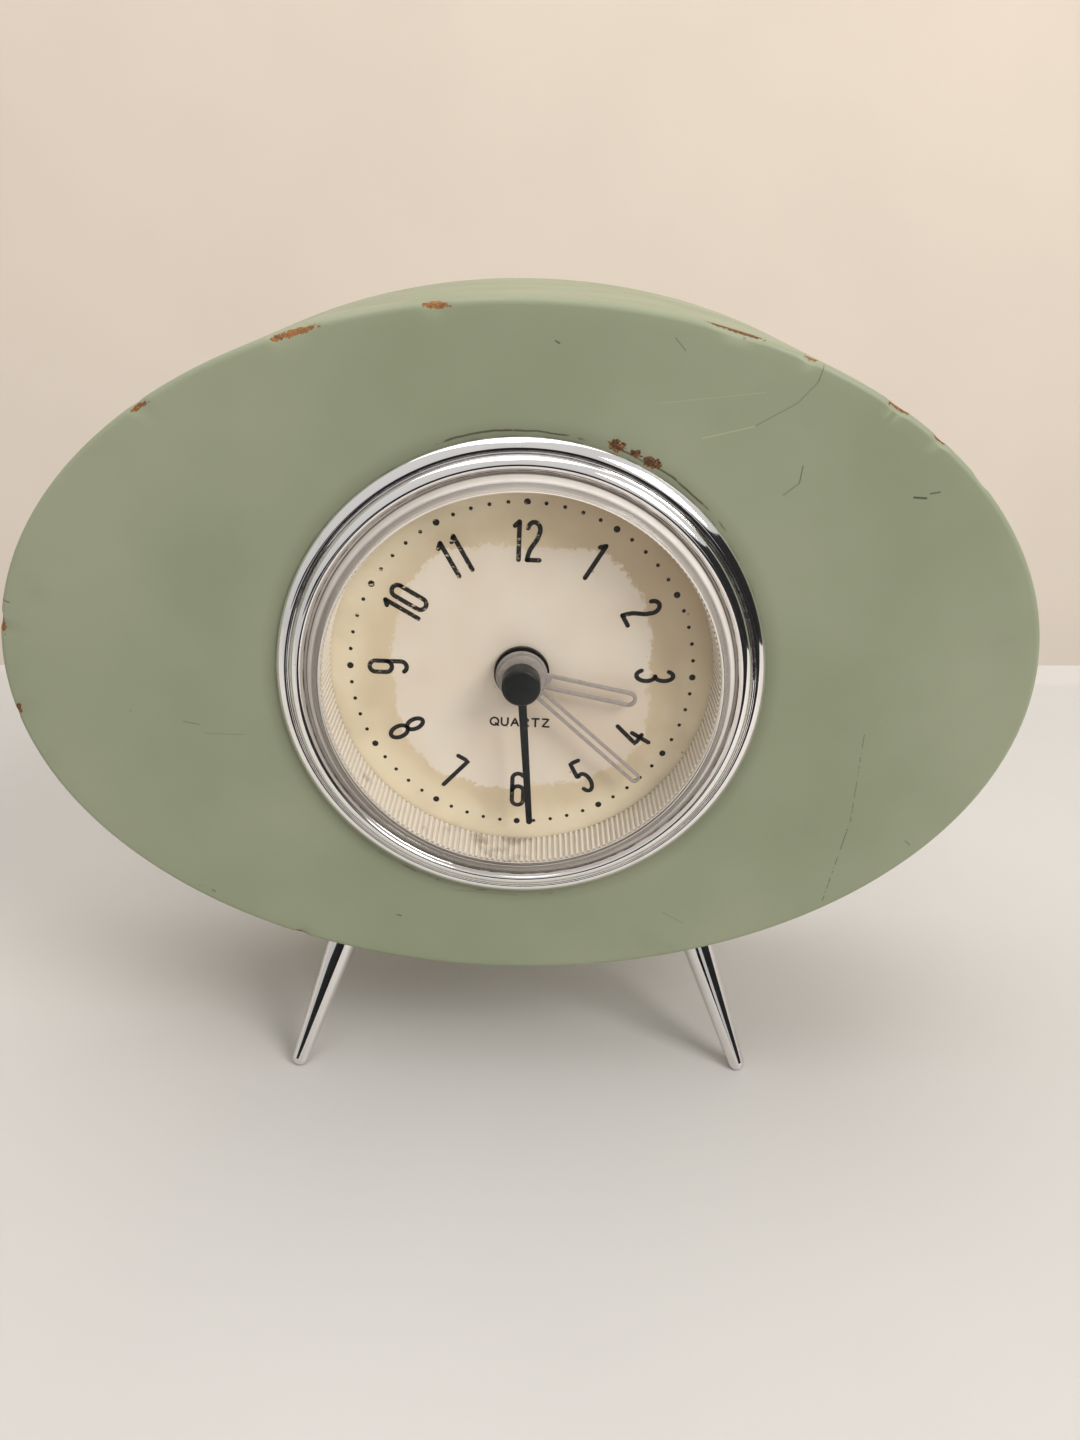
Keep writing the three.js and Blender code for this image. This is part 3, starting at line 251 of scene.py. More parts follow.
def pen_stroke(path: Path, pen: float, back: float, front: float) -> tuple[np.ndarray, list]:
    """A round-ended flat stroke of even width along a path.

    Args:
        path: points of the stroke's middle line.
        pen: its width.
        back: y of its back.
        front: y of its front.

    Returns:
        The points and faces, in the path's own plane as x and z.
    """
    line = np.array(path, float)
    along = np.roll(line, -1, axis=0) - np.roll(line, 1, axis=0)
    along[0] = line[1] - line[0]
    along[-1] = line[-1] - line[-2]
    along /= np.linalg.norm(along, axis=1)[:, None]
    half = np.full(len(line), pen / 2)
    caps = [math.radians(angle) for angle in PEN_CAP]
    head = np.array([line[0] - along[0] * half[0] * math.sin(angle) for angle in caps])
    tail = np.array([line[-1] + along[-1] * half[0] * math.sin(angle) for angle in reversed(caps)])
    narrow = np.array([pen / 2 * math.cos(angle) for angle in caps])
    line = np.vstack([head, line, tail])
    along = np.vstack([[along[0]] * len(caps), along, [along[-1]] * len(caps)])
    half = np.concatenate([narrow, half, narrow[::-1]])
    across = np.stack([-along[:, 1], along[:, 0]], axis=1)
    left = line + across * half[:, None]
    right = line - across * half[:, None]
    points, faces = [], []
    for a, b in zip(left, right):
        points += [(a[0], front, a[1]), (b[0], front, b[1]), (b[0], back, b[1]), (a[0], back, a[1])]
    count = len(line)
    for i in range(count - 1):
        here, there = 4 * i, 4 * (i + 1)
        for k in range(4):
            nxt = (k + 1) % 4
            faces.append([here + k, here + nxt, there + nxt, there + k])
    last = 4 * (count - 1)
    faces += [[3, 2, 1, 0], [last, last + 1, last + 2, last + 3]]
    return np.array(points), faces


def eased_copy(node: str, bevel: float) -> bpy.types.Object:
    """A copy of a CAD node with its edges rounded, to stand for it.

    Args:
        node: the CAD node.
        bevel: width of the rounding in millimetres.

    Returns:
        The new object, named after the node.
    """
    mesh = frame["nodes"][node].data.copy()
    mesh.materials.clear()
    work = bmesh.new()
    work.from_mesh(mesh)
    bmesh.ops.remove_doubles(work, verts=work.verts, dist=2e-6)
    bmesh.ops.dissolve_limit(work, angle_limit=math.radians(1.0), verts=work.verts, edges=work.edges)
    work.to_mesh(mesh)
    work.free()
    piece = bpy.data.objects.new(f"{node}_eased", mesh)
    bpy.context.scene.collection.objects.link(piece)
    modifier = piece.modifiers.new("Eased edges", "BEVEL")
    modifier.width = bevel * MM
    modifier.segments = EASED_STEPS
    modifier.limit_method = "ANGLE"
    modifier.angle_limit = math.radians(EASED_OVER)
    modifier.harden_normals = False
    bake_modifiers(piece)
    piece.data.shade_smooth()
    piece.data.set_sharp_from_angle(angle=math.radians(SHARP_OVER))
    return piece


def bake_modifiers(piece: bpy.types.Object) -> None:
    """Turns a piece's modifiers into plain mesh and removes them."""
    depsgraph = bpy.context.evaluated_depsgraph_get()
    mesh = bpy.data.meshes.new_from_object(piece.evaluated_get(depsgraph))
    piece.modifiers.clear()
    piece.data = mesh


def finish_piece(piece: bpy.types.Object, body: str, nodes: Sequence[str] = ()) -> None:
    """Ties a piece to its body and the CAD nodes it stands for."""
    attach(piece, body)
    if nodes:
        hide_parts(*nodes)
    LOG.info("%-22s %6d faces on %s", piece.name, len(piece.data.polygons), body)


def dress(piece: bpy.types.Object, material: bpy.types.Material) -> None:
    """Gives a piece one material."""
    piece.data.materials.clear()
    piece.data.materials.append(material)


# ------------------------------------------------------------------ shader tools


class Shader:
    """A material being written: small calls that add and join nodes."""

    def __init__(self, name: str) -> None:
        """Starts an empty material with one Principled shader."""
        self.material = bpy.data.materials.new(name)
        self.material.use_nodes = True
        self.tree = self.material.node_tree
        self.tree.nodes.clear()
        self.out = self.tree.nodes.new("ShaderNodeOutputMaterial")
        self.surface = self.tree.nodes.new("ShaderNodeBsdfPrincipled")
        self.tree.links.new(self.surface.outputs[0], self.out.inputs[0])
        self.place = self.tree.nodes.new("ShaderNodeTexCoord").outputs["Object"]

    def put(self, socket: Socket, value: object) -> None:
        """Sets a socket from a number or colour, or links it from another socket."""
        if isinstance(value, bpy.types.NodeSocket):
            self.tree.links.new(value, socket)
        else:
            socket.default_value = value

    def set(self, **values: object) -> None:
        """Sets the Principled shader's sockets; underscores stand for spaces."""
        for key, value in values.items():
            self.put(self.surface.inputs[key.replace("_", " ")], value)

    def math(self, operation: str, a: Value, b: Value = 0.0, clamp: bool = False) -> Socket:
        """One Math node."""
        node = self.tree.nodes.new("ShaderNodeMath")
        node.operation = operation
        node.use_clamp = clamp
        self.put(node.inputs[0], a)
        self.put(node.inputs[1], b)
        return node.outputs[0]

    def times(self, a: Value, b: Value) -> Socket:
        """a times b."""
        return self.math("MULTIPLY", a, b)

    def plus(self, a: Value, b: Value) -> Socket:
        """a plus b."""
        return self.math("ADD", a, b)

    def less(self, a: Value, b: Value) -> Socket:
        """a less b."""
        return self.math("SUBTRACT", a, b)

    def most(self, a: Value, b: Value) -> Socket:
        """The larger of a and b."""
        return self.math("MAXIMUM", a, b)

    def gap(self, a: Value, b: Value) -> Socket:
        """How far apart a and b are."""
        return self.math("ABSOLUTE", self.less(a, b))

    def vector(self, operation: str, a: object, b: object = (0.0, 0.0, 0.0),
               scale: Optional[Value] = None) -> Socket:
        """One Vector Math node; gives its value for lengths and dot products."""
        node = self.tree.nodes.new("ShaderNodeVectorMath")
        node.operation = operation
        self.put(node.inputs[0], a)
        if scale is None:
            self.put(node.inputs[1], b)
        else:
            self.put(node.inputs["Scale"], scale)
        return node.outputs["Value" if operation in ("LENGTH", "DOT_PRODUCT") else "Vector"]

    def step(self, value: Value, low: float, high: float, start: float = 0.0, end: float = 1.0) -> Socket:
        """A smooth step from start to end as value goes from low to high."""
        node = self.tree.nodes.new("ShaderNodeMapRange")
        node.interpolation_type = "SMOOTHSTEP"
        self.put(node.inputs["Value"], value)
        for key, number in (("From Min", low), ("From Max", high), ("To Min", start), ("To Max", end)):
            node.inputs[key].default_value = number
        return node.outputs["Result"]

    def mix(self, share: Value, a: object, b: object) -> Socket:
        """A colour between a and b."""
        node = self.tree.nodes.new("ShaderNodeMix")
        node.data_type = "RGBA"
        self.put(node.inputs[0], share)
        self.put(node.inputs[6], a)
        self.put(node.inputs[7], b)
        return node.outputs[2]

    def noise(self, per_mm: float, detail: float = 2.0, stretch: Point = (1.0, 1.0, 1.0),
              roughness: float = 0.5) -> Socket:
        """Smooth noise with the given number of waves per millimetre."""
        node = self.tree.nodes.new("ShaderNodeTexNoise")
        spread = self.vector("MULTIPLY", self.place, tuple(s * per_mm / MM for s in stretch))
        self.put(node.inputs["Vector"], spread)
        node.inputs["Scale"].default_value = 1.0
        node.inputs["Detail"].default_value = detail
        node.inputs["Roughness"].default_value = roughness
        return node.outputs[0]

    def wander(self, reach: float, per_mm: float, detail: float = 2.0, roughness: float = 0.5) -> Socket:
        """Noise about zero, which strays over the given reach."""
        return self.times(self.less(self.noise(per_mm, detail, roughness=roughness), 0.5), reach)

    def cells(self, per_mm: float) -> Socket:
        """Distance to the nearest point of a scattered set."""
        node = self.tree.nodes.new("ShaderNodeTexVoronoi")
        self.put(node.inputs["Vector"], self.vector("MULTIPLY", self.place, (per_mm / MM,) * 3))
        node.inputs["Scale"].default_value = 1.0
        return node.outputs["Distance"]

    def bump(self, height: Value, strength: float, distance_mm: float) -> None:
        """Adds relief to the surface's normal, on top of any already there."""
        node = self.tree.nodes.new("ShaderNodeBump")
        node.inputs["Strength"].default_value = strength
        node.inputs["Distance"].default_value = distance_mm * MM
        self.put(node.inputs["Height"], height)
        socket = self.surface.inputs["Normal"]
        if socket.is_linked:
            self.tree.links.new(socket.links[0].from_socket, node.inputs["Normal"])
        self.tree.links.new(node.outputs[0], socket)

    def split(self) -> Sequence[Socket]:
        """The place's x, y and z in millimetres."""
        node = self.tree.nodes.new("ShaderNodeSeparateXYZ")
        self.put(node.inputs[0], self.vector("MULTIPLY", self.place, (1 / MM,) * 3))
        return node.outputs

    def from_axis(self) -> tuple[Socket, Socket]:
        """Distance from the dial's axis in millimetres, and the offset vector that it measures."""
        flat = self.vector("MULTIPLY", self.place, (1 / MM, 0.0, 1 / MM))
        offset = self.vector("SUBTRACT", flat, (0.0, 0.0, PLACES.centre))
        return self.vector("LENGTH", offset), offset

    def to_segment(self, flat: Socket, a: tuple[float, float], b: tuple[float, float]) -> Socket:
        """Distance to a short line on the face.

        Args:
            flat: the place seen from the front, in millimetres.
            a: x and z of the line's start.
            b: x and z of its end.

        Returns:
            The distance in millimetres.
        """
        run = (b[0] - a[0], 0.0, b[1] - a[1])
        square = run[0] ** 2 + run[2] ** 2
        away = self.vector("SUBTRACT", flat, (a[0], 0.0, a[1]))
        share = self.math("MULTIPLY", self.vector("DOT_PRODUCT", away, run), 1 / square, clamp=True)
        nearest = self.vector("SCALE", run, scale=share)
        return self.vector("LENGTH", self.vector("SUBTRACT", away, nearest))


# ------------------------------------------------------------------ finishes

class Finish:
    """A finish of the clock; each kind writes its own nodes."""

    def write(self, s: Shader) -> None:
        """Writes the finish's nodes."""
        raise NotImplementedError

    def make(self, name: str) -> bpy.types.Material:
        """Builds the material under a name."""
        s = Shader(name)
        self.write(s)
        return s.material




@dataclass(frozen=True)
class Chip:
    """A place where paint has come off.

    Args:
        x: middle, millimetres.
        z: middle, millimetres.
        width: half its extent along the edge it sits on.
        height: half its extent across that edge.
        lean: degrees that its long side leans from the horizontal.
        dark: from 0, bare orange fibreboard, to 1, dirty brown.
    """

    x: float
    z: float
    width: float
    height: float
    lean: float = 0.0
    dark: float = 0.3


@dataclass(frozen=True)
class Scratch:
    """A mark in the paint from a to b, in millimetres, pale or dark, whole or broken."""

    a: tuple[float, float]
    b: tuple[float, float]
    width: float
    strength: float
    dark: bool = True
    broken: float = 0.0


CHIPS = (
    Chip(-14.2, 158.0, 2.2, 0.6, 3, 0.1),
    Chip(-36.8, 153.6, 3.6, 0.55, 15, 0.1),
    Chip(-40.2, 152.6, 1.1, 0.5, 16, 0.4),
    Chip(-64.1, 141.4, 1.6, 0.5, 28, 0.5),
    Chip(-94.0, 103.6, 0.7, 2.4, 8, 0.2),
    Chip(-93.9, 86.2, 0.6, 1.2, -6, 0.6),
    Chip(-44.6, 36.4, 1.4, 0.5, -24, 0.6),
    Chip(34.5, 154.7, 5.2, 0.28, -16, 0.8),
    Chip(47.2, 150.8, 1.3, 0.6, -19, 0.2),
    Chip(62.6, 143.0, 2.2, 0.45, -28, 0.5),
    Chip(70.4, 137.8, 1.5, 0.4, -34, 0.6),
    Chip(79.2, 131.0, 2.6, 0.5, -42, 0.4),
    Chip(15.9, 136.1, 1.9, 1.0, -16, 0.9),
    Chip(19.0, 134.9, 1.2, 0.7, -30, 1.0),
    Chip(21.9, 133.4, 1.9, 0.9, -22, 0.95),
)

SCRATCHES = (
    Scratch((49.3, 149.6), (48.6, 147.0), 0.12, 0.7),
    Scratch((48.6, 147.0), (45.6, 143.6), 0.12, 0.5),
    Scratch((45.6, 143.6), (38.8, 139.7), 0.12, 0.5),
    Scratch((38.8, 139.7), (30.2, 137.6), 0.13, 0.7, False),
    Scratch((22.5, 143.2), (40.0, 145.2), 0.10, 0.35, False),
    Scratch((47.6, 133.2), (47.3, 130.3), 0.14, 0.8),
    Scratch((47.3, 130.3), (44.8, 128.2), 0.14, 0.6),
    Scratch((67.3, 128.1), (69.4, 128.0), 0.28, 0.9),
    Scratch((70.0, 128.8), (71.6, 129.1), 0.20, 0.8),
    Scratch((64.8, 83.0), (64.6, 64.6), 0.13, 0.6, True, 0.5),
    Scratch((64.6, 64.6), (61.3, 46.0), 0.13, 0.8, True, 0.5),
    Scratch((-63.4, 84.0), (-60.4, 83.4), 0.12, 0.6),
    Scratch((-59.6, 81.6), (-52.4, 81.4), 0.10, 0.4, True, 0.3),
    Scratch((-65.2, 48.2), (-61.4, 46.4), 0.20, 0.8, True, 0.6),
    Scratch((24.6, 153.6), (26.4, 151.6), 0.10, 0.7),
    Scratch((5.2, 152.8), (5.8, 152.5), 0.22, 0.8),
    Scratch((-24.9, 41.3), (-24.1, 41.0), 0.22, 0.8),
    Scratch((-93.0, 107.4), (-91.8, 107.0), 0.20, 0.7),
    Scratch((-13.5, 47.4), (-0.5, 46.3), 0.12, 0.5, True, 0.2),
    Scratch((29.0, 42.6), (33.5, 40.0), 0.10, 0.4),
    Scratch((76.0, 60.0), (77.0, 59.2), 0.20, 0.5),
)


@dataclass(frozen=True)
class BlockPaint(Finish):
    """Satin sage paint on fibreboard, chipped and scratched, with bare board in the bore and a painted shade
    round the bezel.
    """

    green: Colour = srgb(136, 143, 116)
    pale: Colour = srgb(149, 154, 128)
    deep: Colour = srgb(114, 121, 97)
    board: Colour = srgb(160, 110, 64)
    deep_board: Colour = srgb(118, 78, 44)
    rubbed: Colour = srgb(176, 172, 142)
    # Dirt colour; it also paints the soft shade round the bezel.
    dirt: Colour = srgb(60, 44, 30)
    bore: float = 41.3
    crack_radius: float = 45.9

    def chip_mask(self, s: Shader, flat: Socket, before: Socket) -> tuple[Socket, Socket]:
        """Where board shows through, and how dirty it is there.

        Args:
            s: the shader being written.
            flat: the place seen from the front, in millimetres.
            before: 1 on the front face and its edge, 0 behind.

        Returns:
            The share of bare board and the share of dirt.
        """
        ragged = s.wander(2.4, 1.3, 3.0, roughness=0.65)
        chips, dirt = 0.0, 0.0
        for chip in CHIPS:
            lean = math.radians(chip.lean)
            away = s.vector("SUBTRACT", flat, (chip.x, 0.0, chip.z))
            cos, sin = math.cos(lean), math.sin(lean)
            along = s.vector("DOT_PRODUCT", away, (cos / chip.width, 0.0, sin / chip.width))
            across = s.vector("DOT_PRODUCT", away, (-sin / chip.height, 0.0, cos / chip.height))
            squares = s.plus(s.times(along, along), s.times(across, across))
            edge = s.plus(s.math("POWER", squares, 0.5), ragged)
            mask = s.step(edge, 1.0, 0.86)
            chips = s.most(mask, chips)
            dirt = s.most(s.times(mask, chip.dark), dirt)
        return s.times(chips, before), dirt

    def scratch_masks(self, s: Shader, flat: Socket, before: Socket) -> tuple[Socket, Socket]:
        """Scratches on the front face.

        Args:
            s: the shader being written.
            flat: the place seen from the front, in millimetres.
            before: 1 on the front face and its edge, 0 behind.

        Returns:
            The share of dark marks and the share of pale ones.
        """
        marks = {True: 0.0, False: 0.0}
        breaks = s.noise(0.9, 1.0)
        for mark in SCRATCHES:
            distance = s.to_segment(flat, mark.a, mark.b)
            near = s.step(distance, mark.width, mark.width * 0.35)
            near = s.times(near, mark.strength)
            if mark.broken:
                near = s.times(near, s.step(breaks, mark.broken - 0.06, mark.broken + 0.04))
            marks[mark.dark] = s.most(near, marks[mark.dark])
        return s.times(marks[True], before), s.times(marks[False], before)

    def lip_mask(self, s: Shader, radius: Socket, offset: Socket, before: Socket) -> Socket:
        """The broken ridge of paint round the top of the bezel and the fine line under it.

        Args:
            s: the shader being written.
            radius: distance from the dial's axis, in millimetres.
            offset: the place seen from the front, from the dial's centre.
            before: 1 on the front face and its edge, 0 behind.

        Returns:
            The share of dark line.
        """
        wobble = s.wander(1.6, 0.12, 3.0)
        ring = s.gap(s.plus(radius, wobble), self.crack_radius)
        line = s.step(ring, 0.32, 0.06)
        height = s.vector("DOT_PRODUCT", offset, (0.25, 0.0, 1.0))
        above = s.most(s.step(height, 34.0, 41.0), s.step(height, -42.0, -44.5, 0.0, 0.7))
        gaps = s.step(s.noise(0.22, 2.0), 0.4, 0.5)
        return s.times(s.times(line, above), s.times(gaps, before))

    def write(self, s: Shader) -> None:
        """Writes the finish's nodes."""
        depth = s.split()[1]
        flat = s.vector("MULTIPLY", s.place, (1 / MM, 0.0, 1 / MM))
        radius, offset = s.from_axis()
        before = s.step(depth, PLACES.face + 2.6, PLACES.face + 1.6)
        chips, dirty = self.chip_mask(s, flat, before)
        dark, pale = self.scratch_masks(s, flat, before)
        lip = self.lip_mask(s, radius, offset, before)
        grain = s.noise(2.2, 3.0, roughness=0.7)
        bore = s.times(s.step(radius, self.bore + 0.2, self.bore - 0.05),
                      s.step(depth, PLACES.face + 0.5, PLACES.face + 1.5))
        bare = s.most(chips, bore)
        colour = s.mix(s.step(s.noise(0.02, 3.0), 0.3, 0.75), self.green, self.pale)
        colour = s.mix(s.step(s.noise(0.06, 4.0), 0.62, 0.8, 0.0, 0.25), colour, self.deep)
        # Painted shade: a soft ring of the dirt colour just outside the bezel, darkest against it.
        bezel_shade = s.times(s.step(radius, 48.5, 45.0), before)
        shade_and_soil = s.most(s.times(bezel_shade, 0.22), s.times(lip, 0.8))
        specks = s.step(s.cells(0.06), 0.022, 0.012)
        shade_and_soil = s.most(shade_and_soil, s.times(s.most(dark, s.times(specks, 0.5)), 0.85))
        colour = s.mix(shade_and_soil, colour, self.dirt)
        colour = s.mix(pale, colour, self.rubbed)
        board = s.mix(s.step(grain, 0.3, 0.7), self.board, self.deep_board)
        board = s.mix(s.times(dirty, s.step(grain, 0.25, 0.6)), board, self.dirt)
        s.set(Base_Color=s.mix(bare, colour, board))
        worn = s.step(s.noise(0.05, 3.0), 0.35, 0.7, 0.42, 0.56)
        s.set(Roughness=s.most(worn, s.times(bare, 0.9)))
        s.set(Specular_IOR_Level=0.4)
        relief = s.times(s.noise(0.55, 2.0), 0.05)
        relief = s.plus(relief, s.times(s.noise(3.0, 2.0), 0.02))
        s.bump(relief, 0.5, 0.5)


@dataclass(frozen=True)
class Chrome(Finish):
    """Polished chrome plate with fine wiping marks, pits and, on turned work, dirt in its grooves.

    Args:
        tint: the plate's colour.
        roughness: of the clean plate.
        pits: share of the surface with dark specks.
        grooves: radii, in millimetres from the dial's axis, where dirt has settled.
    """

    tint: Colour = (0.94, 0.92, 0.91, 1.0)
    roughness: float = 0.05
    pits: float = 0.5
    grooves: tuple[tuple[float, float], ...] = ()
    grime: Colour = srgb(62, 50, 42)

    def write(self, s: Shader) -> None:
        """Writes the finish's nodes."""
        fog = s.noise(0.12, 4.0, roughness=0.6)
        colour = s.mix(s.step(fog, 0.45, 0.8, 0.0, 0.35), self.tint, (0.74, 0.71, 0.69, 1.0))
        specks = s.times(s.step(s.cells(0.8), 0.14, 0.06), s.step(s.noise(0.1, 2.0), 0.52, 0.66))
        dirty = s.times(specks, self.pits)
        radius, _ = s.from_axis()
        patchy = s.step(s.noise(0.3, 3.0), 0.3, 0.6, 0.35, 1.0)
        for middle, width in self.grooves:
            away = s.gap(radius, middle)
            dirty = s.most(dirty, s.times(s.step(away, width, width * 0.4), patchy))
        s.set(Base_Color=s.mix(dirty, colour, self.grime))
        s.set(Metallic=s.step(dirty, 0.3, 0.9, 1.0, 0.2))
        wipes = s.noise(0.5, 3.0, stretch=(1.0, 1.0, 0.1))
        rough = s.plus(self.roughness, s.step(wipes, 0.45, 0.8, 0.0, 0.05))
        s.set(Roughness=s.plus(rough, s.times(dirty, 0.4)))
        s.bump(s.noise(0.07, 2.0), 0.08, 0.25)
        s.bump(s.less(1.0, dirty), 0.1, 0.03)


@dataclass(frozen=True)
class ClearLens(Finish):
    """Clear moulded plastic: nearly nothing over the dial; at its rim a painted milky sheen with painted
    bright and dark rings, for the light its curved shoulder bends and reflects.
    """

    clear: float = 0.006
    milky: float = 0.30
    rim_start: float = 36.6
    neck: float = 0.93
    neck_start: float = 37.5
    # Radii of the painted bright rings on the rim.
    lines: tuple[float, ...] = (36.6, 38.3, 39.15)

    def write(self, s: Shader) -> None:
        """Writes the finish's nodes."""
        radius, _ = s.from_axis()
        # Painted sheen: the bevel and the outer rim are made nearly opaque and pale to paint the light that
        # the curved shoulder bends and reflects.
        bevel = s.step(radius, self.rim_start, self.rim_start + 0.5, self.clear, self.milky)
        alpha = s.most(bevel, s.step(radius, self.neck_start, self.neck_start + 0.9, 0.0, self.neck))
        haze = s.step(s.noise(0.05, 3.0), 0.45, 0.75, 0.0, 0.004)
        alpha = s.plus(alpha, haze)
        scuffs = s.times(s.step(s.cells(0.35), 0.05, 0.02), s.step(s.noise(0.08, 2.0), 0.55, 0.65))
        alpha = s.most(alpha, s.times(scuffs, 0.35))
        # Painted highlights: bright rings at these radii, and a painted dark ring at the outermost one.
        for line in self.lines:
            near = s.step(s.gap(radius, line), 0.16, 0.05)
            alpha = s.most(alpha, s.times(near, 0.85))
        painted_dark_line = s.step(s.gap(radius, self.lines[-1]), 0.2, 0.05)
        colour = s.mix(s.noise(0.2, 2.0), srgb(236, 230, 222), srgb(216, 206, 196))
        colour = s.mix(s.times(painted_dark_line, 0.75), colour, srgb(96, 84, 72))
        s.set(Base_Color=colour, Roughness=0.07, Alpha=alpha)
        s.bump(s.noise(0.03, 1.0), 0.05, 0.1)
        s.material.surface_render_method = "BLENDED"


@dataclass(frozen=True)
class FlutedPlastic(Finish):
    """Cream translucent plastic of the reflector ring, with painted shade between the flutes and brown dust
    low on the ring.
    """

    cream: Colour = srgb(228, 218, 204)
    shade: Colour = srgb(204, 190, 170)

    def write(self, s: Shader) -> None:
        """Writes the finish's nodes."""
        radius, offset = s.from_axis()
        # Painted shade: the wall behind the flutes and the backs of the flutes take the darker shade colour.
        flute_valley_shade = s.step(radius, 36.15, 36.42)
        colour = s.mix(s.times(flute_valley_shade, 0.7), self.cream, self.shade)
        stain = s.step(s.noise(0.15, 3.0), 0.55, 0.72, 0.0, 0.6)
        low = s.step(s.vector("DOT_PRODUCT", offset, (0.55, 0.0, 1.0)), -30.0, -38.0)
        colour = s.mix(s.times(stain, low), colour, srgb(110, 96, 84))
        s.set(Base_Color=colour, Roughness=0.3, Subsurface_Weight=0.25)
        s.set(Subsurface_Radius=(0.004, 0.003, 0.002))
        s.set(Subsurface_Scale=0.5)
        s.bump(s.noise(0.6, 2.0), 0.1, 0.05)


@dataclass(frozen=True)
class DialCard(Finish):
    """Cream dial print, sun-yellowed outside a ragged line, with a painted shade of the rim that makes it
    browner at the upper right.
    """

    cream: Colour = srgb(228, 219, 203)
    tan: Colour = srgb(214, 197, 166)
    brown: Colour = srgb(178, 156, 126)
    rim: Colour = srgb(230, 218, 190)
    tide: float = 24.4
    squareness: float = 11.0

    def write(self, s: Shader) -> None:
        """Writes the finish's nodes."""
        radius, offset = s.from_axis()
        wave = s.wander(4.5, 0.16, 2.0)
        teeth = s.wander(4.6, 1.5, 4.0, roughness=0.8)
        parts = s.tree.nodes.new("ShaderNodeSeparateXYZ")
        s.put(parts.inputs[0], s.vector("NORMALIZE", offset))
        diagonal = s.times(parts.outputs[0], parts.outputs[2])
        corners = s.times(s.times(diagonal, diagonal), self.squareness)
        edge = s.less(s.plus(radius, s.plus(wave, teeth)), corners)
        aged = s.step(edge, self.tide - 0.25, self.tide + 0.25)
        outer = s.step(s.plus(radius, wave), 27.0, 33.5)
        colour = s.mix(outer, self.tan, self.rim)
        # Painted shade: browner towards the upper right, where the rim's shadow falls.
        upper_right_shade = s.step(s.vector("DOT_PRODUCT", offset, (0.72, 0.0, 0.69)), 14.0, 35.0)
        colour = s.mix(s.times(upper_right_shade, 0.75), colour, self.brown)
        blotch = s.step(s.noise(0.09, 3.0), 0.4, 0.75, 0.0, 0.3)
        colour = s.mix(blotch, colour, self.brown)
        centre = s.mix(s.step(s.noise(0.04, 2.0), 0.3, 0.7), self.cream, srgb(220, 204, 184))
        specks = s.step(s.cells(0.13), 0.035, 0.02)
        colour = s.mix(aged, centre, colour)
        s.set(Base_Color=s.mix(s.times(specks, 0.6), colour, srgb(110, 90, 70)))
        s.set(Roughness=s.step(s.noise(0.3, 2.0), 0.3, 0.7, 0.5, 0.62))
        s.bump(s.noise(1.4, 2.0), 0.06, 0.03)
        s.bump(s.less(1.0, aged), 0.25, 0.02)


@dataclass(frozen=True)
class Ink(Finish):
    """Black dial print, flaking at the upper left numbers."""

    black: Colour = srgb(20, 19, 18)
    card: Colour = srgb(205, 186, 152)

    def write(self, s: Shader) -> None:
        """Writes the finish's nodes."""
        _, offset = s.from_axis()
        flakes = s.step(s.noise(1.1, 3.0, stretch=(0.6, 1.0, 1.6), roughness=0.7), 0.58, 0.61)
        side = s.step(s.vector("DOT_PRODUCT", offset, (-0.62, 0.0, 0.78)), 14.0, 24.0)
        worn = s.times(flakes, side)
        thin = s.step(s.noise(0.8, 2.0), 0.66, 0.7, 0.0, 0.3)
        s.set(Base_Color=s.mix(s.most(worn, thin), self.black, self.card), Roughness=0.45)
        s.bump(s.noise(2.0, 1.0), 0.1, 0.02)


class Grain(Enum):
    """How a moulded or turned surface is marked."""

    POLISHED = 0.05
    SPARKED = 0.30
    SANDY = 0.55


@dataclass(frozen=True)
class Moulded(Finish):
    """Moulded plastic or plain rubber: an even colour with dust, flow marks and surface grain."""

    colour: Colour
    roughness: float = 0.45
    grain: Grain = Grain.SPARKED
    dust: float = 0.15
    shine: float = 0.5

    def write(self, s: Shader) -> None:
        """Writes the finish's nodes."""
        lighter = tuple(min(1.0, c * 1.25 + 0.01) for c in self.colour[:3]) + (1.0,)
        colour = s.mix(s.step(s.noise(0.08, 3.0), 0.3, 0.7), self.colour, lighter)
        dust = s.step(s.noise(0.5, 4.0, roughness=0.7), 0.55, 0.75, 0.0, self.dust)
        s.set(Base_Color=s.mix(dust, colour, srgb(150, 140, 124)))
        s.set(Roughness=s.step(s.noise(0.3, 3.0), 0.3, 0.7, self.roughness - 0.07, self.roughness + 0.1))
        s.set(Specular_IOR_Level=self.shine)
        s.bump(s.noise(4.0, 2.0), self.grain.value, 0.04)
        s.bump(s.noise(0.15, 1.0), 0.08, 0.2)


@dataclass(frozen=True)
class PlainMetal(Finish):
    """Bare or plated metal with brushed lines and a little tarnish."""

    colour: Colour
    roughness: float = 0.28
    tarnish: Colour = srgb(92, 80, 66)

    def write(self, s: Shader) -> None:
        """Writes the finish's nodes."""
        spots = s.step(s.noise(0.4, 4.0, roughness=0.65), 0.55, 0.78, 0.0, 0.5)
        s.set(Base_Color=s.mix(spots, self.colour, self.tarnish), Metallic=1.0)
        s.set(Roughness=s.step(s.noise(1.0, 2.0, stretch=(0.1, 1.0, 1.0)), 0.3, 0.7,
                               self.roughness - 0.06, self.roughness + 0.12))
        s.bump(s.noise(3.0, 1.0, stretch=(0.1, 1.0, 1.0)), 0.12, 0.03)


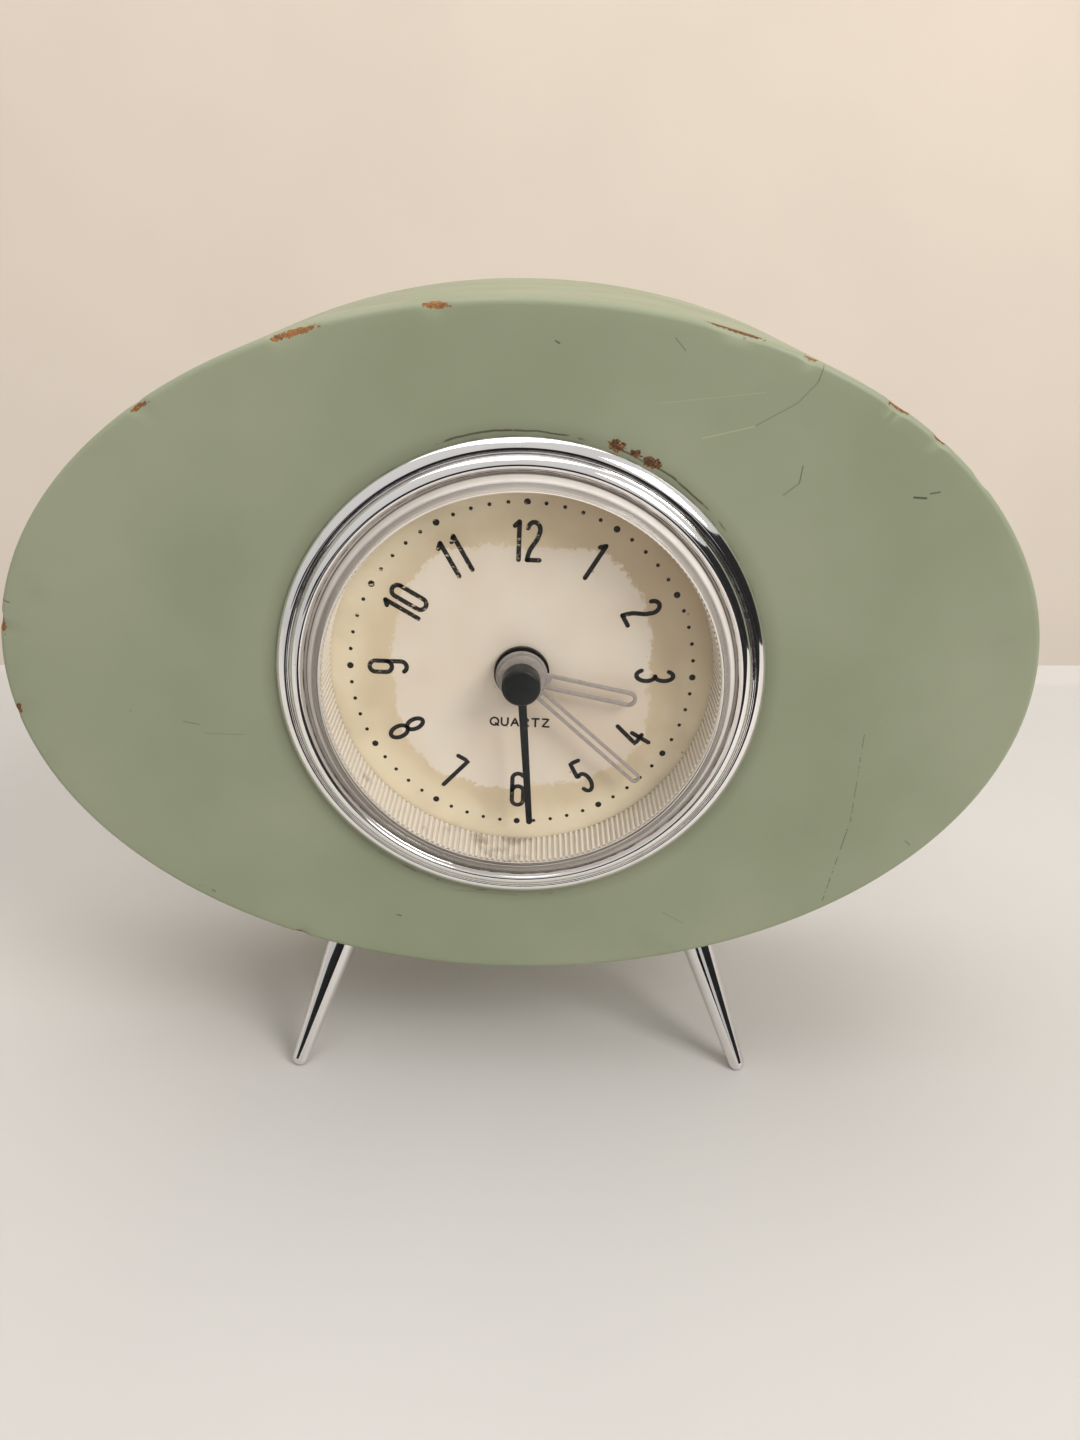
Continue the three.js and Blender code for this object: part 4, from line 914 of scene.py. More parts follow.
@dataclass(frozen=True)
class HandLacquer(Finish):
    """Pale silver hand: thin bright lacquer, a little translucent and dusty."""

    colour: Colour = srgb(160, 151, 145)
    dull: Colour = srgb(148, 139, 133)

    def write(self, s: Shader) -> None:
        """Writes the finish's nodes."""
        streaks = s.step(s.noise(0.8, 3.0), 0.35, 0.7)
        s.set(Base_Color=s.mix(streaks, self.colour, self.dull), Roughness=0.36)
        s.set(Specular_IOR_Level=0.3)
        s.bump(s.noise(2.5, 2.0), 0.12, 0.03)


@dataclass(frozen=True)
class CellJacket(Finish):
    """Plain battery jacket: dark body, copper-coloured end band and bare metal ends."""

    dark: Colour = srgb(42, 48, 56)
    band: Colour = srgb(176, 120, 62)
    start: float = 13.0
    ends: float = 24.4

    def write(self, s: Shader) -> None:
        """Writes the finish's nodes."""
        x = s.split()[0]
        banded = s.step(x, self.start - 0.1, self.start + 0.1)
        colour = s.mix(banded, self.dark, self.band)
        stripe = s.step(s.gap(x, self.start - 1.4), 0.5, 0.4)
        colour = s.mix(stripe, colour, srgb(210, 206, 196))
        bare = s.step(s.math("ABSOLUTE", x), self.ends - 0.1, self.ends + 0.1)
        s.set(Base_Color=s.mix(bare, colour, srgb(188, 188, 186)))
        s.set(Metallic=s.most(bare, 0.35), Roughness=s.step(s.noise(0.3, 2.0), 0.3, 0.7, 0.25, 0.36))
        s.bump(s.noise(0.4, 2.0), 0.06, 0.05)


@dataclass(frozen=True)
class BoardMask(Finish):
    """Green solder mask with copper tracks showing through it."""

    green: Colour = srgb(38, 84, 48)
    track: Colour = srgb(84, 128, 70)

    def write(self, s: Shader) -> None:
        """Writes the finish's nodes."""
        x, _, z = s.split()
        rows = s.math("PINGPONG", s.plus(z, s.step(x, -16.0, -14.0, 0.0, 1.2)), 1.1)
        tracks = s.step(rows, 0.62, 0.7)
        s.set(Base_Color=s.mix(tracks, self.green, self.track), Roughness=0.3)
        s.bump(tracks, 0.3, 0.04)
        s.bump(s.noise(2.0, 1.0), 0.05, 0.02)


@dataclass(frozen=True)
class Copperwire(Finish):
    """Close turns of enamelled copper wire round the coil."""

    copper: Colour = srgb(178, 98, 54)
    turns_per_mm: float = 5.0

    def write(self, s: Shader) -> None:
        """Writes the finish's nodes."""
        x = s.split()[0]
        turns = s.math("PINGPONG", s.times(x, self.turns_per_mm), 0.5)
        s.set(Base_Color=s.mix(turns, self.copper, srgb(120, 58, 30)), Metallic=0.85, Roughness=0.3)
        s.bump(turns, 0.6, 0.1)


# ------------------------------------------------------------------ block and legs


@dataclass
class PaintedBlock:
    """The oval block with its bore, rounded edges and chipped arrises.

    Args:
        edge: radius of the rounded edges.
        bore: radius of the hole for the insert.
        steps: points round the oval.
        face_rows: rows between bore and edge on each face.
        side_rows: rows along the side.
        edge_rows: rows round each edge.
        bore_rows: rows along the bore.
        chip_depth: how deep a chip is.
        chip_slope: how far a chip is pushed in from the edge, as a share of its depth.
    """

    edge: float = 1.2
    bore: float = 41.2
    steps: int = 640
    face_rows: int = 16
    side_rows: int = 16
    edge_rows: int = 6
    bore_rows: int = 5
    chip_depth: float = 0.30
    chip_slope: float = 0.6

    def rim(self) -> tuple[np.ndarray, np.ndarray, np.ndarray]:
        """Points of the oval, their outward normals, and matching points of the bore."""
        t = np.linspace(0, 2 * math.pi, self.steps, endpoint=False)
        a, b = PLACES.half_width, PLACES.half_height
        oval = np.stack([a * np.cos(t), b * np.sin(t)], axis=1)
        out = np.stack([np.cos(t) / a, np.sin(t) / b], axis=1)
        out /= np.linalg.norm(out, axis=1)[:, None]
        aim = np.arctan2(oval[:, 1], oval[:, 0])
        hole = self.bore * np.stack([np.cos(aim), np.sin(aim)], axis=1)
        hole[:, 1] += PLACES.centre - PLACES.middle
        return oval, out, hole

    def build(self) -> bpy.types.Object:
        """Builds the block as one closed grid."""
        oval, out, hole = self.rim()
        front, rear, r = PLACES.face, PLACES.rear, self.edge
        rows: list[tuple[np.ndarray, float]] = []
        inner = oval - out * r
        for i in range(self.face_rows):
            share = i / self.face_rows
            rows.append((hole + (inner - hole) * share, front))
        for i in range(self.edge_rows):
            angle = math.pi / 2 * i / self.edge_rows
            rows.append((inner + out * r * math.sin(angle), front + r * (1 - math.cos(angle))))
        for i in range(self.side_rows):
            share = i / self.side_rows
            rows.append((oval, front + r + (rear - front - 2 * r) * share))
        for i in range(self.edge_rows):
            angle = math.pi / 2 * i / self.edge_rows
            rows.append((inner + out * r * math.cos(angle), rear - r + r * math.sin(angle)))
        for i in range(self.face_rows):
            share = 1 - i / self.face_rows
            rows.append((hole + (inner - hole) * share, rear))
        for i in range(self.bore_rows):
            rows.append((hole, rear + (front - rear) * i / self.bore_rows))
        points = np.zeros((len(rows), self.steps, 3))
        for i, (flat, depth) in enumerate(rows):
            points[i, :, 0], points[i, :, 1], points[i, :, 2] = flat[:, 0], depth, flat[:, 1] + PLACES.middle
        self.knock_chips(points, out)
        faces = []
        count = len(rows)
        for i in range(count):
            below = (i + 1) % count
            for j in range(self.steps):
                beyond = (j + 1) % self.steps
                faces.append([i * self.steps + j, i * self.steps + beyond,
                              below * self.steps + beyond, below * self.steps + j])
        return make_object("block_shell", points.reshape(-1, 3), faces, 50)

    def knock_chips(self, points: np.ndarray, out: np.ndarray) -> None:
        """Pushes the front edge in where paint and board have chipped away."""
        for chip in CHIPS:
            lean = math.radians(chip.lean)
            dx, dz = points[:, :, 0] - chip.x, points[:, :, 2] - chip.z
            along = (dx * math.cos(lean) + dz * math.sin(lean)) / chip.width
            across = (-dx * math.sin(lean) + dz * math.cos(lean)) / (chip.height + 0.5)
            hollow = np.clip(1 - along ** 2 - across ** 2, 0, 1) ** 0.5
            hollow *= points[:, :, 1] < PLACES.face + 2.0
            depth = self.chip_depth * hollow
            points[:, :, 1] += depth
            points[:, :, 0] -= self.chip_slope * depth * out[:, 0]
            points[:, :, 2] -= self.chip_slope * depth * out[:, 1]

    def dress(self, piece: bpy.types.Object) -> None:
        """Paints the block and ties it in."""
        dress(piece, BlockPaint().make("sage paint"))
        finish_piece(piece, "clock", ["body_block"])


@dataclass
class Leg:
    """One tapered chrome leg, turned and round-tipped, splayed in two directions.

    Args:
        name: which leg, such as front_left.
        side: -1 for left, 1 for right.
        rear: whether it is a rear leg.
    """

    name: str
    side: int
    rear: bool
    top_x: float = 36.0
    top_inset: float = 16.0
    foot_x: float = 48.15
    foot_inset: float = 3.0
    top_radius: float = 3.5
    tip_radius: float = 1.75
    foot_flat: float = 0.3
    shoulder: float = 4.0
    rows: int = 12
    segments: int = 72

    def ends(self) -> tuple[Vector, Vector]:
        """Where the axis meets the underside, and the middle of the rounded tip."""
        under = PLACES.middle - PLACES.half_height * math.sqrt(1 - (self.top_x / PLACES.half_width) ** 2)
        top_y = PLACES.rear - self.top_inset if self.rear else PLACES.face + self.top_inset
        foot_y = PLACES.rear - self.foot_inset if self.rear else PLACES.face + self.foot_inset
        top = Vector((self.side * self.top_x, top_y, under))
        tip = Vector((self.side * self.foot_x, foot_y, self.tip_radius - self.foot_flat))
        return top, tip

    def build(self) -> bpy.types.Object:
        """Builds the leg along its axis, then sets it in place."""
        top, tip = self.ends()
        length = (top - tip).length
        profile: list[tuple[float, float]] = [(0.0, -length - self.tip_radius)]
        for i in range(1, self.rows + 1):
            angle = math.pi / 2 * i / self.rows
            profile.append((self.tip_radius * math.sin(angle), -length - self.tip_radius * math.cos(angle)))
        for i in range(1, self.rows + 1):
            share = i / self.rows
            radius = self.tip_radius + (self.top_radius - self.tip_radius) * share
            profile.append((radius, -length * (1 - share)))
        profile += [(self.top_radius, self.shoulder), (0.0, self.shoulder)]
        points, faces = revolve(profile, self.segments)
        turn = Vector((0, 1, 0)).rotation_difference((top - tip).normalized()).to_matrix()
        points = points @ np.array(turn).T + np.array(top)
        points[:, 2] = np.maximum(points[:, 2], 0.0)
        return make_object(f"leg_turned_{self.name}", points, faces, 60)

    def dress(self, piece: bpy.types.Object, chrome: bpy.types.Material) -> None:
        """Plates the leg and ties it in."""
        dress(piece, chrome)
        finish_piece(piece, "clock", [f"leg_{self.name}"])


# ------------------------------------------------------------------ rim, lens and ring


@dataclass
class Bezel:
    """The pressed chrome rim: two rounded bands with a grooved step between, and an inner lip."""

    segments: int = 360

    def profile(self) -> list[tuple[float, float]]:
        """The rim's section, as radius and distance before the block's face."""
        outer = smooth_profile([(45.0, 0.05), (44.97, 0.5), (44.5, 1.05), (43.9, 1.5), (43.4, 1.73),
                                (42.98, 1.7)], 5)
        step = [(42.88, 1.52), (42.78, 1.5), (42.66, 1.7), (42.54, 1.74), (42.46, 1.56), (42.38, 1.58)]
        inner = smooth_profile([(42.32, 1.86), (42.05, 2.3), (41.6, 2.76), (41.1, 3.06), (40.7, 3.15),
                                (40.32, 3.04), (40.08, 2.78)], 5)
        lip = smooth_profile([(39.98, 2.6), (39.84, 2.42), (39.66, 2.3), (39.6, 2.05)], 3)
        back = [(39.6, 1.85), (40.2, 1.85), (40.2, -7.0), (40.9, -7.0), (40.9, 0.05)]
        return outer + step + inner + lip + back

    def build(self) -> bpy.types.Object:
        """Turns the rim."""
        profile = [(radius, PLACES.before_face(depth)) for radius, depth in self.profile()]
        return turned_piece("bezel_rim", profile, self.segments, 30)

    def dress(self, piece: bpy.types.Object) -> None:
        """Plates the rim, with dirt in the grooves."""
        grooves = ((42.78, 0.05), (42.42, 0.045), (39.72, 0.12), (44.98, 0.05))
        dress(piece, Chrome(grooves=grooves, pits=0.45).make("rim chrome"))
        finish_piece(piece, "clock", ["bezel"])


@dataclass
class Lens:
    """The cap-shaped clear lens with its bevelled rim and hidden flange."""

    front: float = 4.7
    thickness: float = 1.35
    segments: int = 256

    def build(self) -> bpy.types.Object:
        """Turns the lens."""
        shoulder = smooth_profile([(36.3, self.front), (36.9, self.front - 0.22), (37.8, self.front - 0.95),
                                   (38.6, self.front - 1.9), (39.3, self.front - 2.95)], 6)
        profile = [(0.0, self.front), *shoulder, (39.3, 1.55), (39.9, 1.55), (39.9, -0.85), (38.2, -0.85),
                   (38.2, 1.4), (37.05, self.front - self.thickness), (0.0, self.front - self.thickness)]
        return turned_piece("lens_clear", [(r, PLACES.before_face(d)) for r, d in profile], self.segments, 25)

    def dress(self, piece: bpy.types.Object) -> None:
        """Gives the lens its clear finish."""
        dress(piece, ClearLens().make("clear lens"))
        finish_piece(piece, "clock", ["lens"])


class NodeTool:
    """A Geometry Nodes tree being written, with named inputs for its sizes."""

    def __init__(self, name: str, sizes: dict[str, float]) -> None:
        """Starts the tree.

        Args:
            name: the tree's name.
            sizes: each named input and its value; whole numbers make integer inputs.
        """
        self.tree = bpy.data.node_groups.new(name, "GeometryNodeTree")
        self.sizes = sizes
        self.tree.interface.new_socket("Geometry", in_out="INPUT", socket_type="NodeSocketGeometry")
        self.keys = {}
        for key, value in sizes.items():
            kind = "NodeSocketInt" if isinstance(value, int) else "NodeSocketFloat"
            self.keys[key] = self.tree.interface.new_socket(key, in_out="INPUT", socket_type=kind).identifier
        self.tree.interface.new_socket("Geometry", in_out="OUTPUT", socket_type="NodeSocketGeometry")
        self.start = self.tree.nodes.new("NodeGroupInput")
        self.end = self.tree.nodes.new("NodeGroupOutput")

    def add(self, kind: str, **links: Value) -> bpy.types.Node:
        """Adds a node; each link's key is an input's name, its value a socket or number."""
        node = self.tree.nodes.new(kind)
        for key, value in links.items():
            self.wire(value, node.inputs[key.replace("_", " ")])
        return node

    def wire(self, value: Value, socket: Socket) -> None:
        """Links a socket, or sets it from a number."""
        if isinstance(value, bpy.types.NodeSocket):
            self.tree.links.new(value, socket)
        else:
            socket.default_value = value

    def size(self, key: str) -> Socket:
        """The socket of a named size."""
        return self.start.outputs[key]

    def math(self, operation: str, *values: Value) -> Socket:
        """One Math node fed with sockets or numbers, in order."""
        node = self.tree.nodes.new("ShaderNodeMath")
        node.operation = operation
        for value, socket in zip(values, node.inputs):
            self.wire(value, socket)
        return node.outputs[0]

    def stand(self, geometry: Socket, depth: float, turn: float = 0.0) -> Socket:
        """Stands geometry that was made flat on the dial's axis.

        Args:
            geometry: the socket that gives it.
            depth: y of its middle, in millimetres.
            turn: its turn about the axis, in radians.

        Returns:
            The socket that gives the placed geometry.
        """
        place = self.add("GeometryNodeTransform", Geometry=geometry)
        place.inputs["Translation"].default_value = (0.0, depth * MM, PLACES.centre * MM)
        place.inputs["Rotation"].default_value = Euler((math.pi / 2, turn, 0.0))
        return place.outputs[0]

    def finish(self, piece: bpy.types.Object, geometry: Socket, material: bpy.types.Material) -> None:
        """Ends the tree in real, dressed mesh and applies it to a piece.

        Args:
            piece: the object that carries the tree.
            geometry: the socket to end with.
            material: what the result is made of.
        """
        real = self.add("GeometryNodeRealizeInstances", Geometry=geometry)
        painted = self.add("GeometryNodeSetMaterial", Geometry=real.outputs[0])
        painted.inputs["Material"].default_value = material
        self.tree.links.new(painted.outputs[0], self.end.inputs[0])
        modifier = piece.modifiers.new(self.tree.name, "NODES")
        modifier.node_group = self.tree
        for key, value in self.sizes.items():
            modifier[self.keys[key]] = value
        bake_modifiers(piece)


@dataclass
class FluteRing:
    """The reflector ring: a plain wall with a flute for every tooth of its inner edge."""

    outer: float = 36.9
    wall: float = 36.42
    flute: float = 0.34
    count: int = 205
    back: float = 0.35
    front: float = 9.0

    def build(self) -> bpy.types.Object:
        """Builds wall and flutes as one mesh."""
        y0, y1 = PLACES.before_dial(self.front), PLACES.before_dial(self.back)
        profile = [(self.wall, y0 + 0.15), (self.wall + 0.15, y0), (self.outer, y0), (self.outer, y1),
                   (self.wall, y1)]
        piece = turned_piece("fluted_ring", profile, self.count * 2, 30)
        sizes = {"Count": self.count, "Radius": self.wall * MM, "Flute radius": self.flute * MM,
                 "Length": (self.front - self.back) * MM}
        tool = NodeTool("Ring flutes", sizes)
        circle = tool.add("GeometryNodeMeshCircle", Vertices=tool.size("Count"), Radius=tool.size("Radius"))
        bar = tool.add("GeometryNodeMeshCylinder", Vertices=6, Radius=tool.size("Flute radius"),
                       Depth=tool.size("Length"))
        flutes = tool.add("GeometryNodeInstanceOnPoints", Points=circle.outputs[0],
                          Instance=bar.outputs["Mesh"])
        placed = tool.stand(flutes.outputs[0], PLACES.before_dial((self.front + self.back) / 2))
        join = tool.add("GeometryNodeJoinGeometry")
        tool.wire(tool.start.outputs["Geometry"], join.inputs[0])
        tool.wire(placed, join.inputs[0])
        tool.finish(piece, join.outputs[0], FlutedPlastic().make("fluted plastic"))
        return piece


# ------------------------------------------------------------------ dial print


def arc(x: float, y: float, wide: float, tall: float, start: float, end: float, steps: int = 18) -> Path:
    """Points of an elliptical arc, from start to end degrees, anticlockwise if end is larger."""
    turns = np.radians(np.linspace(start, end, steps))
    return [(x + wide * math.cos(t), y + tall * math.sin(t)) for t in turns]


def straight(*points: tuple[float, float], steps: int = 4) -> Path:
    """Points along straight runs."""
    path: Path = []
    for a, b in zip(points, points[1:]):
        path += [(a[0] + (b[0] - a[0]) * i / steps, a[1] + (b[1] - a[1]) * i / steps) for i in range(steps)]
    return path + [points[-1]]


@dataclass(frozen=True)
class PenFigures:
    """Narrow round-ended dial figures, drawn with one pen width.

    Args:
        wide: half the width of a figure's middle line.
        tall: half its height.
    """

    wide: float = 1.12
    tall: float = 3.5

    def strokes(self, figure: str) -> list[Path]:
        """The strokes of one figure about its middle."""
        w, h = self.wide, self.tall
        figures: dict[str, Callable[[], list[Path]]] = {
            "0": lambda: [arc(0, h - w, w, w, 0, 180) + arc(0, w - h, w, w, 180, 360) + [(w, h - w)]],
            "1": lambda: [straight((0.1, -h), (0.1, h)), straight((0.1, h), (-0.62 * w, h - 0.75))],
            "2": lambda: [arc(0, h - 1.25 * w, w, 1.25 * w, 168, -28)
                          + straight((0.55 * w, 0.1 * h), (-0.55 * w, -0.45 * h))
                          + straight((-0.85 * w, -0.75 * h), (-w, -h)), straight((-w, -h), (w, -h))],
            "3": lambda: [arc(-0.05, 0.5 * h, 0.9 * w, 0.5 * h, 150, -82),
                          arc(-0.05, -0.48 * h, w, 0.52 * h, 82, -150)],
            "4": lambda: [straight((0.15 * w, h), (-w, -0.42 * h), (w, -0.42 * h)),
                          straight((0.42 * w, 0.1 * h), (0.42 * w, -h))],
            "5": lambda: [straight((0.8 * w, h), (-0.75 * w, h), (-0.85 * w, 0.1 * h)),
                          arc(-0.05 * w, -0.42 * h, w, 0.58 * h, 122, -145)],
            "6": lambda: [arc(0, h - w, w, w, 35, 180) + arc(0, w - h, w, w, 180, 360)
                          + arc(0, -0.12 * h, w, w, 0, 180)],
            "7": lambda: [straight((-w, h), (w, h), (-0.35 * w, -h))],
            "8": lambda: [arc(0, 0.52 * h, 0.88 * w, 0.48 * h, -90, 270, 26),
                          arc(0, -0.48 * h, w, 0.52 * h, 90, 450, 26)],
            "9": lambda: [[(-x, -y) for x, y in self.strokes("6")[0]]],
        }
        return figures[figure]()


@dataclass(frozen=True)
class PenCapitals:
    """Plain wide capitals for the small word on the dial."""

    wide: float = 0.72
    tall: float = 0.8

    def strokes(self, letter: str) -> list[Path]:
        """The strokes of one capital about its middle."""
        w, h = self.wide, self.tall
        letters: dict[str, Callable[[], list[Path]]] = {
            "Q": lambda: [arc(0, 0, w * 1.08, h, 0, 360, 28),
                          straight((0.3 * w, -0.45 * h), (1.1 * w, -1.05 * h))],
            "U": lambda: [[(-0.85 * w, h)] + arc(0, -0.3 * h, 0.85 * w, 0.7 * h, 180, 360) + [(0.85 * w, h)]],
            "A": lambda: [straight((-0.95 * w, -h), (0, h), (0.95 * w, -h)),
                          straight((-0.55 * w, -0.3 * h), (0.55 * w, -0.3 * h))],
            "R": lambda: [straight((-0.75 * w, -h), (-0.75 * w, h), (0.15 * w, h))
                          + arc(0.15 * w, 0.52 * h, 0.62 * w, 0.48 * h, 80, -90)
                          + straight((0.1 * w, 0.04 * h), (-0.75 * w, 0.04 * h)),
                          straight((0.15 * w, 0.04 * h), (0.85 * w, -h))],
            "T": lambda: [straight((-0.9 * w, h), (0.9 * w, h)), straight((0, h), (0, -h))],
            "Z": lambda: [straight((-0.8 * w, h), (0.85 * w, h), (-0.85 * w, -h), (0.9 * w, -h))],
        }
        return letters[letter]()


@dataclass
class DialPrint:
    """The dial: its card, printed numbers, word and minute dots.

    Args:
        figure_radius: how far the numbers' middles are from the centre.
        figure_pen: the pen's width.
        pitch: distance between the two figures of 10, 11 and 12.
        word_drop: how far below the centre the word is.
    """

    figure_radius: float = 25.3
    figure_pen: float = 0.86
    pitch: float = 2.75
    word_drop: float = 10.6
    word_pitch: float = 1.98
    word_pen: float = 0.36
    ink_lift: float = 0.03
    ink_root: float = 0.05
    dot_radius: float = 32.45
    dots: int = 60
    small_dot: float = 0.36
    big_dot: float = 0.62

    def lettered(self, marks: str, shapes: Union[PenFigures, PenCapitals], pitch: float, pen: float,
                 degrees: float, radius: float, inward: bool) -> list[tuple[np.ndarray, list]]:
        """Strokes of a run of marks, turned to their place on the dial.

        Args:
            marks: what is written.
            shapes: the lettering that gives each mark's strokes.
            pitch: distance between marks.
            pen: stroke width.
            degrees: clock angle of the run's middle.
            radius: how far its middle is from the centre.
            inward: whether the marks' tops point to the centre.

        Returns:
            A list of point-and-face sets.
        """
        flip = -1 if inward else 1
        angle = math.radians(degrees) + PLACES.turn
        up = flip * np.array([math.sin(angle), math.cos(angle)])
        right = flip * np.array([math.cos(angle), -math.sin(angle)])
        middle = np.array(PLACES.on_dial(degrees, radius))
        front, back = PLACES.before_dial(self.ink_lift), PLACES.before_dial(-self.ink_root)
        solids = []
        for index, mark in enumerate(marks):
            shift = (index - (len(marks) - 1) / 2) * pitch
            for path in shapes.strokes(mark):
                placed = [tuple(middle + right * (x + shift) + up * y) for x, y in path]
                solids.append(pen_stroke(placed, pen, back, front))
        return solids

    def build_figures(self) -> bpy.types.Object:
        """Builds the twelve numbers and the word as raised ink."""
        solids = []
        for hour in range(1, 13):
            inward = 4 <= hour <= 8
            solids += self.lettered(str(hour), PenFigures(), self.pitch, self.figure_pen, hour * 30,
                                    self.figure_radius, inward)
        solids += self.lettered("QUARTZ", PenCapitals(), self.word_pitch, self.word_pen, 180,
                                self.word_drop, True)
        points, faces = merge_pieces(solids)
        return make_object("dial_figures", points, faces, 30)

    def build_dots(self, ink: bpy.types.Material) -> bpy.types.Object:
        """Builds the ring of minute dots, every fifth one larger."""
        piece = make_object("minute_dots", np.zeros((0, 3)), [])
        sizes = {"Count": self.dots, "Radius": self.dot_radius * MM, "Small": self.small_dot * MM,
                 "Growth": self.big_dot / self.small_dot - 1,
                 "Thickness": (self.ink_lift + self.ink_root) * MM}
        tool = NodeTool("Minute dots", sizes)
        circle = tool.add("GeometryNodeMeshCircle", Vertices=tool.size("Count"), Radius=tool.size("Radius"))
        dot = tool.add("GeometryNodeMeshCylinder", Vertices=20, Radius=tool.size("Small"),
                       Depth=tool.size("Thickness"))
        index = tool.add("GeometryNodeInputIndex")
        place_in_five = tool.math("MODULO", index.outputs[0], 5.0)
        is_fifth = tool.math("LESS_THAN", place_in_five, 0.5)
        grown = tool.math("MULTIPLY_ADD", is_fifth, tool.size("Growth"), 1.0)
        spread = tool.tree.nodes.new("ShaderNodeCombineXYZ")
        for value, socket in zip((grown, grown, 1.0), spread.inputs):
            tool.wire(value, socket)
        dots = tool.add("GeometryNodeInstanceOnPoints", Points=circle.outputs[0],
                        Instance=dot.outputs["Mesh"], Scale=spread.outputs[0])
        middle = PLACES.before_dial((self.ink_lift - self.ink_root) / 2)
        tool.finish(piece, tool.stand(dots.outputs[0], middle, PLACES.turn), ink)
        return piece

    def build_card(self) -> bpy.types.Object:
        """Builds the dial plate as a thin ring with eased edges."""
        outer, hole, thick, ease = 37.9, 4.5, 0.5, 0.08
        front = PLACES.dial
        profile = [(hole, front + ease), (hole + ease, front), (outer - ease, front), (outer, front + ease),
                   (outer, front + thick), (hole, front + thick)]
        return turned_piece("dial_card", profile, 180, 30)

    def add(self) -> None:
        """Builds and ties in everything on the dial."""
        ink = Ink().make("dial ink")
        card = self.build_card()
        dress(card, DialCard().make("dial card"))
        finish_piece(card, "clock", ["dial_plate"])
        figures = self.build_figures()
        dress(figures, ink)
        finish_piece(figures, "clock")
        finish_piece(self.build_dots(ink), "clock")


# ------------------------------------------------------------------ hands and movement


@dataclass
class Hands:
    """The three hands, each tied to the body it turns with."""

    edge: float = 0.10

    def add(self) -> None:
        """Builds, dresses and ties in the hands."""
        silver = HandLacquer().make("pale silver")
        black = Moulded(srgb(8, 14, 15), 0.36, Grain.POLISHED, 0.03, 0.22).make("hand black")
        for node, body, material, slot in (
            ("hour_hand", "hour", silver, "hand_silver"),
            ("minute_hand", "minute", silver, "hand_silver"),
            ("second_hand", "seconds", black, "hand_black"),
        ):
            piece = eased_copy(node, self.edge)
            dress(piece, material)
            finish_piece(piece, body, [node])


@dataclass
class Movement:
    """What sits behind the dial: cup, movement, battery, knob and their small metal."""

    cup_outer: float = 39.9
    cup_inner: float = 38.2
    cup_hole: float = 4.3
    floor_gap: float = 0.8
    floor_thickness: float = 1.7

    def plastics(self) -> dict[str, bpy.types.Material]:
        """The plain finishes, by the record's slot names."""
        return {
            "cup_plastic": Moulded(srgb(34, 34, 35), 0.5, Grain.SANDY, 0.25).make("cup plastic"),
            "case_plastic": Moulded(srgb(30, 30, 31), 0.4, Grain.SPARKED, 0.25).make("case plastic"),
            "white_plastic": Moulded(srgb(226, 223, 214), 0.4, Grain.POLISHED, 0.12).make("white plastic"),
            "knob_plastic": Moulded(srgb(38, 38, 40), 0.42, Grain.SPARKED, 0.2).make("knob plastic"),
            "band_rubber": Moulded(srgb(28, 27, 25), 0.8, Grain.SANDY, 0.2).make("band rubber"),
            "brass_parts": PlainMetal(srgb(190, 156, 96)).make("turned brass"),
            "steel_parts": PlainMetal(srgb(176, 178, 180), 0.26).make("plain steel"),
            "copper_wire": Copperwire().make("coil wire"),
            "board_green": BoardMask().make("solder mask"),
            "cell_jacket": CellJacket().make("cell jacket"),
            "nut_black": PlainMetal(srgb(34, 34, 36), 0.35).make("blackened metal"),
            "magnet_grey": PlainMetal(srgb(86, 86, 90), 0.5).make("magnet"),
        }

    def add(self) -> None:
        """Dresses every remaining node, rounding the edges of those that can be seen from behind."""
        finishes = self.plastics()
        slots = {part["node"]: part["material_slot"] for part in frame["record"]["subparts"]}
        seen = {"movement_case": 0.25, "rear_cover": 0.25, "battery": 0.25, "centre_nut": 0.12,
                "contact_positive": 0.08, "contact_negative": 0.08, "set_knob": 0.18}
        seen.update({f"cover_screw_{i}": 0.08 for i in range(1, 5)})
        for node, width in seen.items():
            piece = eased_copy(node, width)
            dress(piece, finishes[slots[node]])
            body = "setting" if node == "set_knob" else "clock"
            finish_piece(piece, body, [node])
        self.add_cup(finishes["cup_plastic"])
        for node, slot in slots.items():
            if slot in finishes and node not in seen and node != "insert_cup":
                dress(frame["nodes"][node], finishes[slot])

    def add_cup(self, plastic: bpy.types.Material) -> None:
        """Turns the insert's cup with a rounded rear edge."""
        low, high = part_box("insert_cup")
        front, back = low.y / MM, high.y / MM
        floor = PLACES.dial + self.floor_gap
        rear = smooth_profile([(39.9, back - 0.6), (39.7, back - 0.15), (39.3, back)], 4)
        inner = smooth_profile([(38.8, back), (38.4, back - 0.2), (38.2, back - 0.7)], 4)
        above = floor + self.floor_thickness
        profile = [(self.cup_hole, floor), (self.cup_inner, floor), (self.cup_inner, front),
                   (self.cup_outer, front), *rear, *inner, (self.cup_inner, above), (self.cup_hole, above)]
        piece = turned_piece("cup_turned", profile, 200, 30)
        dress(piece, plastic)
        finish_piece(piece, "clock", ["insert_cup"])


# ------------------------------------------------------------------ studio


